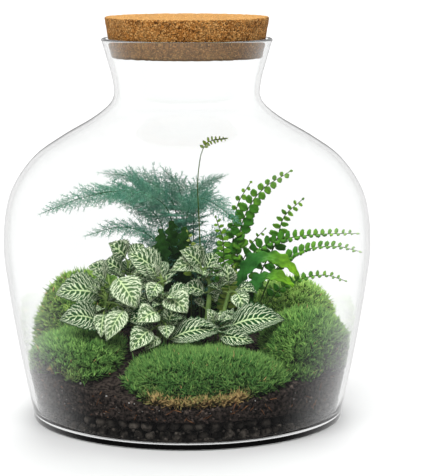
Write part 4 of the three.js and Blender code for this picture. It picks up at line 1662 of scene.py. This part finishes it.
NERVE_STEMS = (
    LeafyStem("fittonia_left", (-52, -24), 1.3, ((-57, -32.5, 82), (-61, -41, 92), (-58, -41, 106)), (
        Leaf((-66, -35, 100), (-97, -45, 102), 27),
        Leaf((-65, -50, 81), (-92, -67, 89), 26, 0.1),
        Leaf((-52, -44, 113), (-38, -58, 94), 24, 0.9),
        Leaf((-60, -32, 114), (-73, -37, 122), 14, 0.2, TO_LEFT),
        Leaf((-61, -44, 111), (-69, -56, 119), 14, 0.35),
        Leaf((-47, -56, 91), (-58, -74, 73), 16, 1.0),
        Leaf((-62, -55, 88), (-64, -70, 75), 13, 0.8),
        Leaf((-64, -30, 96), (-86, -16, 97), 22, 0.2, TO_LEFT))),
    LeafyStem("fittonia_top", (-40, -10), 1.2, ((-44, -20, 96), (-45, -22, 121)), (
        Leaf((-47, -22, 125), (-58, -28, 137), 18, 0.4),
        Leaf((-42, -20, 122), (-33, -14, 134), 15, 0.4),
        Leaf((-49, -20, 114), (-63, -10, 121), 17, 0.2, TO_LEFT),
        Leaf((-44, -14, 104), (-50, 8, 104), 20, 0.2, BEHIND)),
        (Leaf((-41, -11, 103), (-28, -2, 113), 13, 0.1), Leaf((-40, -12, 98), (-30, 2, 101), 13, 0.1),
         Leaf((-45, -14, 109), (-43, -3, 121), 13, 0.1))),
    LeafyStem("fittonia_middle", (-22, -34), 1.3, ((-19, -38, 92), (-19, -36, 111)), (
        Leaf((-21, -32, 114), (-44, -34, 130), 24, 0.35),
        Leaf((-23, -36, 112), (-31, -42, 123), 12, 0.6),
        Leaf((-22, -43, 109), (-28, -55, 98), 13, 0.8),
        Leaf((-16, -29, 108), (-15, -8, 113), 18, 0.2, BEHIND),
        Leaf((-15, -37, 97), (6, -35, 102), 16, 0.2, LEVEL)),
        (Leaf((-18, -25, 109), (-23, -6, 119), 14, 0.1), Leaf((-20, -22, 100), (-28, -4, 108), 14, 0.1))),
    LeafyStem("fittonia_front", (-17, -48), 1.5, ((-17, -50, 80), (-18, -48, 100)), (
        Leaf((-15, -50, 101), (-1, -62, 91), 21, 0.95),
        Leaf((-14, -53, 80), (-8, -59, 96), 14, 0.3),
        Leaf((-22, -57, 90), (-36, -68, 85), 18, 1.0),
        Leaf((-16, -57, 80), (-15, -67, 73), 12, 0.8),
        Leaf((-13, -55, 69), (26, -58, 78), 20, 0.1),
        Leaf((-27, -60, 77), (-42, -75, 66), 17, 0.6),
        Leaf((-20, -60, 71), (-31, -69, 64), 9, 0.9),
        Leaf((-25, -49, 86), (-43, -52, 83), 18, 0.0))),
    LeafyStem("fittonia_right", (21, -45), 1.2, ((21, -47, 72), (21, -50, 78)), (
        Leaf((30, -50, 77), (71, -58, 84), 25, 0.0),
        Leaf((24, -59, 72), (48, -69, 70), 14, 0.1, AHEAD),
        Leaf((20, -48, 80), (15, -50, 91), 9, 0.7))),
    LeafyStem("fittonia_centre", (14, -26), 2.2, ((16, -23, 90), (17, -19, 104), (11, -14, 115)), (
        Leaf((10, -12, 117), (-4, -22, 131), 20, 0.5),
        Leaf((7, -12, 117), (-12, -24, 117), 14, 0.8),
        Leaf((12, -15, 114), (12, -23, 108), 9, 0.9),
        Leaf((13, -22, 98), (-3, -22, 103), 14, 0.2),
        Leaf((20, -20, 92), (24, -26, 101), 8, 0.6)),
        (Leaf((14, -12, 114), (22, -4, 126), 12, 0.2), Leaf((10, -9, 115), (4, 5, 128), 13, 0.1)),
        small_leaves=8),
    LeafyStem("fittonia_centre_right", (26, -30), 1.9, ((28, -26, 86), (32, -21, 99)), (
        Leaf((31, -22, 104), (30, -25, 121), 13, 0.6),
        Leaf((37, -30, 99), (43, -42, 88), 14, 0.6),
        Leaf((24, -36, 86), (28, -46, 78), 10, 0.6),
        Leaf((36, -18, 98), (52, -24, 99), 16, 0.1, LEVEL)), small_leaves=4),
)


@dataclass
class NervePlants:
    """The nerve plants: thick pale stalks, and leaves under a pale net."""

    soil: SoilHeap
    stems: tuple[LeafyStem, ...] = NERVE_STEMS
    form: LeafForm = LeafForm(fullness=0.82, ripples=9, ripple_height=0.55, teeth=0.09, tip_droop=0.08)
    stalk_radius: Pair = (0.75, 0.6)
    small_form: LeafForm = LeafForm(rows=12, columns=8, fullness=0.82, ripples=5, ripple_height=0.5)
    small_length: Pair = (10.0, 17.0)
    small_width: float = 0.62
    small_stand: Pair = (3.0, 8.0)
    bare_foot: float = 4.0
    widening: float = 1.04

    def build(self, finishes: Finishes) -> None:
        """Grows every stem with its leaves.

        Args:
            finishes: The shared node groups.
        """
        skins = [
            NerveLeaf().material(finishes),
            Foliage("nerve_stalk", (0.16, 0.28, 0.07), (0.30, 0.42, 0.12), (0.05, 0.12, 0.03), 0.6,
                    0.2).material(finishes)]
        for number, stem in enumerate(self.stems):
            draws = random.Random(100 + number)
            path = Path([*self.soil.foot(*stem.at), *stem.points])
            heap = Heap()
            heap.add(stalk(path, 1.0, (stem.radius * 1.1, stem.radius * 0.75), 16, 10), tone=0.5)
            lowest = self.soil.height(*stem.at) + self.soil.stem_rises[-1]
            for form, leaves in ((self.form, stem.leaves), (self.small_form, stem.fillers)):
                for leaf in leaves:
                    self._leaf(heap, form, leaf, nearest(path, Vector(leaf.base), lowest), draws)
            for _ in range(stem.small_leaves):
                self._leaf(heap, self.small_form, *self._small_leaf(path, lowest, draws), draws)
            present(stem.node + "_leaves", heap.bm, skins, "nerve_leaf", stem.node)

    def _small_leaf(self, path: Path, lowest: float, draws: random.Random) -> tuple[Leaf, Vector]:
        """A small leaf in the shade of the others, and its root on the stem.

        Args:
            path: The stem's line.
            lowest: The height that the stem leaves the soil at.
            draws: The random draws.

        Returns:
            The leaf, and its root.
        """
        root = draws.choice([spot for spot in path.spots if spot.z > lowest + self.bare_foot])
        turn = draws.uniform(0, TURN)
        out = around(1.0, turn, draws.uniform(-0.1, 0.7)).normalized()
        base = root + out * draws.uniform(*self.small_stand)
        length = draws.uniform(*self.small_length)
        tip = base + out * length
        return Leaf(tuple(base), tuple(tip), self.small_width * length, draws.uniform(0.0, 0.5), OVER), root

    def _leaf(self, heap: Heap, form: LeafForm, leaf: Leaf, root: Vector, draws: random.Random) -> None:
        """Adds one leaf and its stalk to a stem.

        Args:
            heap: The stem's heap.
            form: The leaf's form.
            leaf: The leaf.
            root: Where its stalk leaves the stem.
            draws: The random draws.
        """
        base, tip = Vector(leaf.base), Vector(leaf.tip)
        along = tip - base
        bend = root.lerp(base, 0.55) + Vector((0, 0, 0.12 * (base - root).length))
        line = Path([root, bend, base, base + along * 0.04])
        heap.add(stalk(line, 1.0, self.stalk_radius, 8, 8), tone=1.0)
        blade = leaf_template(form, along.length, leaf.width * self.widening, draws)
        heap.add(blade, facing_frame(base, along, Vector(leaf.face)), leaf.tone)


class LeafletShape(Enum):
    """The two shapes of fern leaflet: width as a share of length, fullness of the outline."""

    ROUND = (0.86, 0.5)
    NARROW = (0.52, 0.62)


@dataclass(frozen=True)
class Frond:
    """A fern frond: where it stands, its line, and its leaflets."""

    node: str
    at: Pair
    points: tuple[Point, ...]
    start: float
    pairs: int
    leaflet: float
    face: Point = AHEAD
    shape: LeafletShape = LeafletShape.NARROW
    lift: float = 0.15
    young: float = 0.0
    loose: int = 0


FRONDS = (
    Frond("fern_frond_tall", (37, 6), ((40, 2, 139), (48, -4, 163), (59, -10, 177), (77, -18, 190)),
          0.55, 10, 8.2, shape=LeafletShape.ROUND, loose=14),
    Frond("fern_frond_inner", (33, 12), ((36, 10, 143), (39, 4, 163), (48, 0, 179)), 0.5, 8, 7,
          shape=LeafletShape.ROUND, loose=12),
    Frond("fern_frond_upper", (45, 16), ((58, 22, 107), (69, 19, 130), (75, 15, 151), (88, 8, 165)),
          0.45, 11, 9, loose=12),
    Frond("fern_frond_long", (41, 16),
          ((46, 15, 115), (57, 13, 127), (79, 9, 135), (105, 2, 139), (129, -8, 141)), 0.42, 16, 8.5,
          OVER, lift=0.5),
    Frond("fern_frond_right", (51, 2),
          ((66, 5, 108), (79, 0, 121), (95, -10, 130), (115, -22, 133), (128, -31, 131)), 0.42, 14, 8,
          OVER, lift=0.5),
    Frond("fern_frond_low", (50, -8), ((71, -3, 97), (88, -8, 106), (105, -15, 110), (119, -21, 107)),
          0.4, 11, 7, OVER, lift=0.5),
    Frond("fern_frond_middle", (27, 6), ((28, 0, 100), (28, -4, 118), (27, -6, 136), (22, -8, 153)),
          0.4, 12, 8, loose=12),
    Frond("fern_frond_small", (40, 24), ((42, 24, 110), (50, 22, 128), (60, 20, 140)), 0.5, 6, 6.5,
          loose=8),
    Frond("fern_frond_new", (30, -8), ((31, -8, 90), (32, -10, 102), (35, -14, 115)), 0.45, 7, 8,
          young=0.7),
    Frond("fern_frond_back", (30, 22), ((26, 34, 112), (30, 48, 132), (38, 60, 142)), 0.42, 9, 8,
          (0, 0.8, 0.6)),
    Frond("fern_chain", (3, -1), ((3, -3, 117), (3, -4, 131), (0, -6, 142)), 0.6, 5, 6.5, young=1.0),
    Frond("fern_shoot", (9, -7),
          ((10, -8, 115), (9, -9, 150), (8, -9, 182), (10, -8, 199), (15, -8, 210), (30, -10, 213)),
          0.88, 7, 3.4, young=1.0),
)


@dataclass
class ButtonFern:
    """The button fern: wiry ribs with leaflets in two rows, and the pale new shoots."""

    soil: SoilHeap
    fronds: tuple[Frond, ...] = FRONDS
    rib: Pair = (0.75, 0.3)
    leaflet_sizes: tuple[float, ...] = (0.92, 1.0, 1.08)
    taper: float = 0.62
    end_leaflet: float = 0.32
    stagger: float = 0.24
    lean: float = 0.2
    loose_start: float = 0.27

    def build(self, finishes: Finishes) -> None:
        """Grows every frond.

        Args:
            finishes: The shared node groups.
        """
        rib = Foliage("fern_rib", (0.05, 0.10, 0.02), (0.16, 0.27, 0.05), (0.03, 0.06, 0.015), 0.6, 0.2)
        old = Foliage("fern_leaflet", (0.065, 0.31, 0.025), (0.33, 0.62, 0.05), (0.025, 0.15, 0.014),
                      0.42, 0.45)
        new = Foliage("new_leaflet", (0.30, 0.46, 0.06), (0.60, 0.68, 0.20), (0.16, 0.28, 0.04), 0.5, 0.3)
        skins = {False: [old.material(finishes), rib.material(finishes)],
                 True: [new.material(finishes), rib.material(finishes)]}
        for number, frond in enumerate(self.fronds):
            slot = "new_growth" if frond.young >= 1 else "fern_leaf"
            self._frond(frond, random.Random(200 + number), skins[frond.young > 0.5], slot)

    def _frond(self, frond: Frond, draws: random.Random, skins: list[bpy.types.Material],
               slot: str) -> None:
        """Grows one frond.

        Args:
            frond: The frond.
            draws: The random draws.
            skins: The leaflets' and the rib's materials.
            slot: The slot of its finish.
        """
        ratio, fullness = frond.shape.value
        form = LeafForm(rows=8, columns=6, broadest=0.9, fullness=fullness, arch=0.06, fold=0.2,
                        thickness=0.28)
        leaflets = [leaf_template(form, 1.0, ratio * size, draws) for size in self.leaflet_sizes]
        path = Path([*self.soil.foot(*frond.at), *frond.points])
        heap = Heap()
        heap.add(stalk(path, 1.0, self.rib, 34, 6), tone=0.5)
        for pair in range(frond.pairs):
            self._pair(heap, leaflets, frond, path, pair, draws)
        for _ in range(frond.loose):
            share, turn = draws.uniform(self.loose_start, frond.start), draws.uniform(-math.pi, 0)
            out = around(1.0, turn, draws.uniform(-0.1, 0.8))
            place = facing_frame(path.at(share), out, Vector((draws.uniform(-0.4, 0.4), -0.7, 0.7)))
            size = frond.leaflet * draws.uniform(0.75, 1.15)
            heap.add(draws.choice(leaflets), place @ Matrix.Scale(size, 4), draws.uniform(0.1, 0.9))
        end = path.frame_at(1.0, frond.face) @ Matrix.Scale(frond.leaflet * self.end_leaflet, 4)
        heap.add(leaflets[0], end, 1.0)
        present(frond.node + "_green", heap.bm, skins, slot, frond.node)

    def _pair(self, heap: Heap, leaflets: list[bpy.types.Mesh], frond: Frond, path: Path, pair: int,
              draws: random.Random) -> None:
        """Sets one pair of leaflets, one a little further along the rib than the other.

        Args:
            heap: The frond's heap.
            leaflets: The leaflets to choose from, of length 1.
            frond: The frond.
            path: Its line.
            pair: The pair's number from the foot.
            draws: The frond's random draws.
        """
        step = (1 - frond.start) / (frond.pairs + 0.3)
        share = frond.start + (pair + 0.5) * step
        along = (pair + 0.5) / frond.pairs
        heading, side, normal = path.sides(share, frond.face)
        for hand in (-1, 1):
            spot = path.at(share + self.stagger * hand * step)
            length = frond.leaflet * (1 - self.taper * along**1.6) * draws.uniform(0.9, 1.08)
            out = side * hand + heading * (self.lean + draws.uniform(-0.12, 0.12))
            out += normal * (frond.lift + draws.uniform(-0.1, 0.12))
            look = normal + side * draws.uniform(-0.2, 0.2) - side * hand * frond.lift
            place = facing_frame(spot, out, look) @ Matrix.Diagonal((length, length, length, 1))
            tone = ease(0.2, 1.0, along) * 0.7 + draws.uniform(0.0, 0.3)
            heap.add(draws.choice(leaflets), place, tone)


@dataclass(frozen=True)
class Strap:
    """A strap leaf: where it stands, its line, its width and where its upper side looks."""

    node: str
    at: Pair
    points: tuple[Point, ...]
    width: float
    face: Point
    slot: str
    scallop: float = 0.13


@dataclass
class StrapLeaves:
    """The broad waved leaves and the dark upright ones."""

    soil: SoilHeap
    straps: tuple[Strap, ...] = (
        Strap("wavy_leaf_upper", (40, -5),
              ((41, -7, 106), (51, -9, 120), (66, -12, 123), (79, -15, 116), (84, -16, 109)), 13,
              TILTED, "strap_leaf"),
        Strap("wavy_leaf_lower", (45, -14), ((48, -17, 98), (58, -20, 109), (69, -25, 111), (80, -29, 104)),
              11, TILTED, "strap_leaf"),
        # The three dark leaves stand in the shaded middle; their near-black green also paints that shade.
        Strap("dark_leaf_left", (-15, 2), ((-18, 1, 108), (-19, -1, 126), (-20, -1, 144)), 14,
              (-0.5, -1, 0.2), "dark_leaf", 0.3),
        Strap("dark_leaf_middle", (-10, 10), ((-11, 10, 110), (-11, 9, 130), (-12, 8, 149)), 14,
              (0.2, -1, 0.2), "dark_leaf", 0.3),
        Strap("dark_leaf_right", (-4, 2), ((-3, 2, 108), (-3, 2, 126), (-2, 3, 145)), 14,
              (0.5, -1, 0.2), "dark_leaf", 0.3),
    )
    start: float = 0.35
    rows: int = 72
    columns: int = 14
    wave: float = 0.28
    waves: int = 3
    scallops: int = 9
    fold: float = 0.2
    crimp: float = 0.09
    midrib: float = 0.25
    crinkle: float = 1.1
    thickness: float = 0.5
    stalk_radii: Pair = (0.8, 0.6)
    stalk_overlap: float = 0.04

    def build(self, finishes: Finishes) -> None:
        """Makes every strap.

        Args:
            finishes: The shared node groups.
        """
        bright = Foliage("strap_green", (0.04, 0.19, 0.03), (0.24, 0.52, 0.02), (0.008, 0.06, 0.010),
                         0.4, 0.1)
        # Painted shade: the dark leaves' near-black greens carry the shade of the crowded middle.
        dark = Foliage("dark_green_painted_shade", (0.008, 0.04, 0.008), (0.03, 0.11, 0.015), (0.004, 0.02, 0.004),
                       0.45, 0.1)
        stem = Foliage("strap_stalk", (0.12, 0.24, 0.04), (0.2, 0.34, 0.06), (0.05, 0.12, 0.02), 0.6, 0.1)
        skins = {"strap_leaf": [bright.material(finishes), stem.material(finishes)],
                 "dark_leaf": [dark.material(finishes), stem.material(finishes)]}
        for strap in self.straps:
            path = Path([*self.soil.foot(*strap.at), *strap.points])
            heap = Heap()
            heap.add(stalk(path, self.start + self.stalk_overlap, self.stalk_radii, 12, 8), tone=0.3)
            heap.add(self._blade(strap, path))
            present(strap.node + "_blade", heap.bm, skins[strap.slot], strap.slot, strap.node)

    def _blade(self, strap: Strap, path: Path) -> bpy.types.Mesh:
        """The waved blade along a path.

        Args:
            strap: The leaf.
            path: Its line.

        Returns:
            A closed thin mesh.
        """
        bm = bmesh.new()
        tone = bm.verts.layers.float.new("tone")
        bmesh.ops.create_grid(bm, x_segments=self.rows, y_segments=self.columns, size=0.5)
        for vert in bm.verts:
            along, across = vert.co.x + 0.5, 2 * vert.co.y
            out, scallop = abs(across), TURN * self.scallops * along
            place = path.frame_at(self.start + (1 - self.start) * along, strap.face)
            swell = math.sin(math.pi * min(0.985, 0.03 + 0.955 * along)) ** 0.55
            half = max(0.3, strap.width / 2 * swell)
            half *= 1 + strap.scallop * out * math.cos(scallop + across)
            rise = self.wave * half * math.sin(TURN * self.waves * along) * across
            rise += self.fold * half * out**1.5
            rise += self.crimp * half * out**2 * math.sin(scallop + 1.5 * across)
            rise += self.midrib * math.cos(9 * across) * (1 - out)
            rise += self.crinkle * noise.noise(Vector((16 * along, 2.2 * across, strap.width)))
            vert[tone] = ease(0.45, 0.95, along)
            vert.co = place @ Vector((0, across * half, rise))
        bmesh.ops.recalc_face_normals(bm, faces=bm.faces)
        bmesh.ops.solidify(bm, geom=bm.faces[:], thickness=self.thickness)
        return as_template(bm)


@dataclass(frozen=True)
class Spray:
    """An asparagus fern's spray: where it stands, its line, and how its twigs spread."""

    node: str
    at: Pair
    points: tuple[Point, ...]
    start: float
    twigs: int
    reach: float
    seed: int


SPRAYS = (
    Spray("asparagus_spray_left", (-9, 22),
          ((-10, 22, 130), (-15, 18, 156), (-30, 6, 170), (-54, -8, 174), (-80, -18, 170), (-105, -25, 161)),
          0.48, 30, 24, 21),
    Spray("asparagus_spray_right", (-1, 26),
          ((-1, 27, 130), (1, 20, 156), (10, 9, 166), (22, -4, 163), (36, -17, 153)), 0.6, 22, 19, 22),
    Spray("asparagus_spray_top_left", (-5, 36),
          ((-7, 38, 130), (-11, 40, 158), (-25, 37, 173), (-45, 33, 181), (-63, 30, 184)), 0.62, 20, 20, 23),
    Spray("asparagus_spray_low_left", (-16, 16),
          ((-18, 16, 110), (-24, 12, 131), (-36, 2, 142), (-53, -7, 146), (-72, -14, 142)), 0.5, 20, 17, 24),
    Spray("asparagus_spray_top_right", (5, 36), ((5, 38, 130), (6, 38, 160), (12, 34, 174), (26, 27, 181)),
          0.66, 17, 18, 25),
    Spray("asparagus_spray_top", (-2, 48), ((-3, 52, 130), (-4, 55, 158), (-9, 53, 174), (-17, 51, 184)),
          0.68, 17, 18, 28),
    Spray("asparagus_spray_low_right", (12, 26), ((13, 26, 106), (15, 25, 126), (22, 22, 136), (36, 17, 138)),
          0.55, 16, 14, 26),
    Spray("asparagus_spray_back", (-14, 46), ((-16, 48, 120), (-24, 52, 146), (-44, 56, 160), (-70, 56, 164)),
          0.55, 20, 20, 27),
)


@dataclass
class AsparagusFern:
    """The asparagus fern: flat feathery sprays of twigs set with fine needles."""

    soil: SoilHeap
    sprays: tuple[Spray, ...] = SPRAYS
    face: Point = TILTED
    stem: Pair = (0.65, 0.25)
    twig_lengths: tuple[float, ...] = (6, 9, 12, 16, 20)
    twig_kinds: int = 3
    twig_radii: Pair = (0.3, 0.1)
    station: float = 1.9
    side_share: float = 0.42
    side_longest: float = 7.0
    side_turn: float = 0.75
    needle: Pair = (2.4, 4.2)
    needle_radius: float = 0.2
    stem_twigs: int = 30
    stem_reach: Pair = (0.5, 1.0)
    to_front: float = -math.pi / 2

    def build(self, finishes: Finishes) -> None:
        """Grows every spray.

        Args:
            finishes: The shared node groups.
        """
        draws = random.Random(300)
        twigs = {length: [self._twig(length, draws) for _ in range(self.twig_kinds)]
                 for length in self.twig_lengths}
        needle = Foliage("asparagus_needle", (0.19, 0.50, 0.37), (0.30, 0.62, 0.42), (0.10, 0.34, 0.24),
                         0.6, 0.5)
        stem = Foliage("asparagus_stalk", (0.03, 0.10, 0.03), (0.09, 0.2, 0.05), (0.02, 0.06, 0.02),
                       0.6, 0.2)
        skins = [needle.material(finishes), stem.material(finishes)]
        for spray in self.sprays:
            self._spray(spray, twigs, skins)

    def _twig(self, length: float, draws: random.Random) -> bpy.types.Mesh:
        """A flat twig along +X with side twigs, all set with needles.

        Args:
            length: Its length.
            draws: The random draws.

        Returns:
            The twig.
        """
        bm = bmesh.new()
        lay = Matrix.Rotation(math.pi / 2, 4, "Y")
        thick, thin = self.twig_radii
        bmesh.ops.create_cone(bm, cap_ends=True, segments=4, radius1=thick, radius2=thin, depth=length,
                              matrix=Matrix.Translation((length / 2, 0, 0)) @ lay)
        for index in range(int(length / self.station) + 1):
            place = index * self.station
            self._whorl(bm, Vector((place, 0, 0)), 0.0, 4, draws)
            for hand in (-1, 1):
                turn = hand * self.side_turn
                side_length = min(self.side_share * (length - place), self.side_longest)
                side_length *= draws.uniform(0.6, 1.0)
                for step in range(1, int(side_length / self.station) + 1):
                    spot = around(step * self.station, turn, draws.uniform(-0.4, 0.4))
                    spot.x += place
                    self._whorl(bm, spot, turn, 3, draws)
        return as_template(bm)

    def _whorl(self, bm: bmesh.types.BMesh, spot: Vector, turn: float, count: int,
               draws: random.Random) -> None:
        """A few needles that spread forward from one spot.

        Args:
            bm: The twig's bmesh.
            spot: The spot.
            turn: The angle of its twig.
            count: The number of needles.
            draws: The random draws.
        """
        for _ in range(count):
            aim = around(1.0, turn) * draws.uniform(0.35, 1.0)
            aim += Vector((draws.gauss(0, 0.55), draws.gauss(0, 0.7), draws.gauss(0, 0.42)))
            length = draws.uniform(*self.needle)
            place = Matrix.Translation(spot) @ aimed(aim) @ Matrix.Translation((0, 0, length / 2))
            bmesh.ops.create_cone(bm, cap_ends=True, segments=3, radius1=self.needle_radius, radius2=0,
                                  depth=length, matrix=place)

    def _spray(self, spray: Spray, twigs: dict[float, list[bpy.types.Mesh]],
               skins: list[bpy.types.Material]) -> None:
        """Grows one spray.

        Args:
            spray: The spray.
            twigs: The twigs to choose from, by length.
            skins: The needles' and the stem's materials.
        """
        draws = random.Random(spray.seed)
        path = Path([*self.soil.foot(*spray.at), *spray.points])
        heap = Heap()
        heap.add(stalk(path, 1.0, self.stem, 36, 6), tone=0.5)
        for index in range(spray.twigs):
            along = (index + 0.5) / spray.twigs
            share = spray.start + (1 - spray.start) * along
            swell = 0.16 + (1 - along) ** 0.75 * min(1.0, 0.6 + 2.5 * along)
            heading, side, normal = path.sides(share, self.face)
            for hand in (-1, 1):
                length = spray.reach * swell * draws.uniform(0.8, 1.12)
                turn = draws.uniform(0.7, 1.0)
                out = heading * math.cos(turn) + side * hand * math.sin(turn)
                out += normal * draws.uniform(-0.3, 0.3)
                size = min(twigs, key=lambda made: abs(made - length))
                place = facing_frame(path.at(share), out, normal + side * draws.uniform(-0.25, 0.25))
                heap.add(draws.choice(twigs[size]), place @ Matrix.Scale(length / size, 4),
                         draws.uniform(0.0, 1.0))
        for _ in range(self.stem_twigs):
            share = spray.start * draws.uniform(*self.stem_reach)
            turn = draws.gauss(self.to_front, 1.1)
            out = around(1.0, turn, draws.uniform(-0.1, 0.4))
            heap.add(draws.choice(twigs[draws.choice(self.twig_lengths[1:])]),
                     facing_frame(path.at(share), out, UP), draws.uniform(0.0, 0.7))
        heap.add(twigs[self.twig_lengths[0]][0], path.frame_at(1.0, self.face), 0.8)
        present(spray.node + "_needles", heap.bm, skins, "asparagus_green", spray.node)


def main() -> None:
    """Builds the studio and every piece, in order."""
    logging.basicConfig(level=logging.INFO, format="%(message)s")
    finishes = Finishes()
    Studio().build()
    jar = GlassJar()
    soil = SoilHeap(jar)
    for part in (jar, CorkStopper(jar), PebbleLayer(jar), soil, MossBed(jar, soil), NervePlants(soil),
                 ButtonFern(soil), StrapLeaves(soil), AsparagusFern(soil)):
        part.build(finishes)


if __name__ == "__main__":
    main()
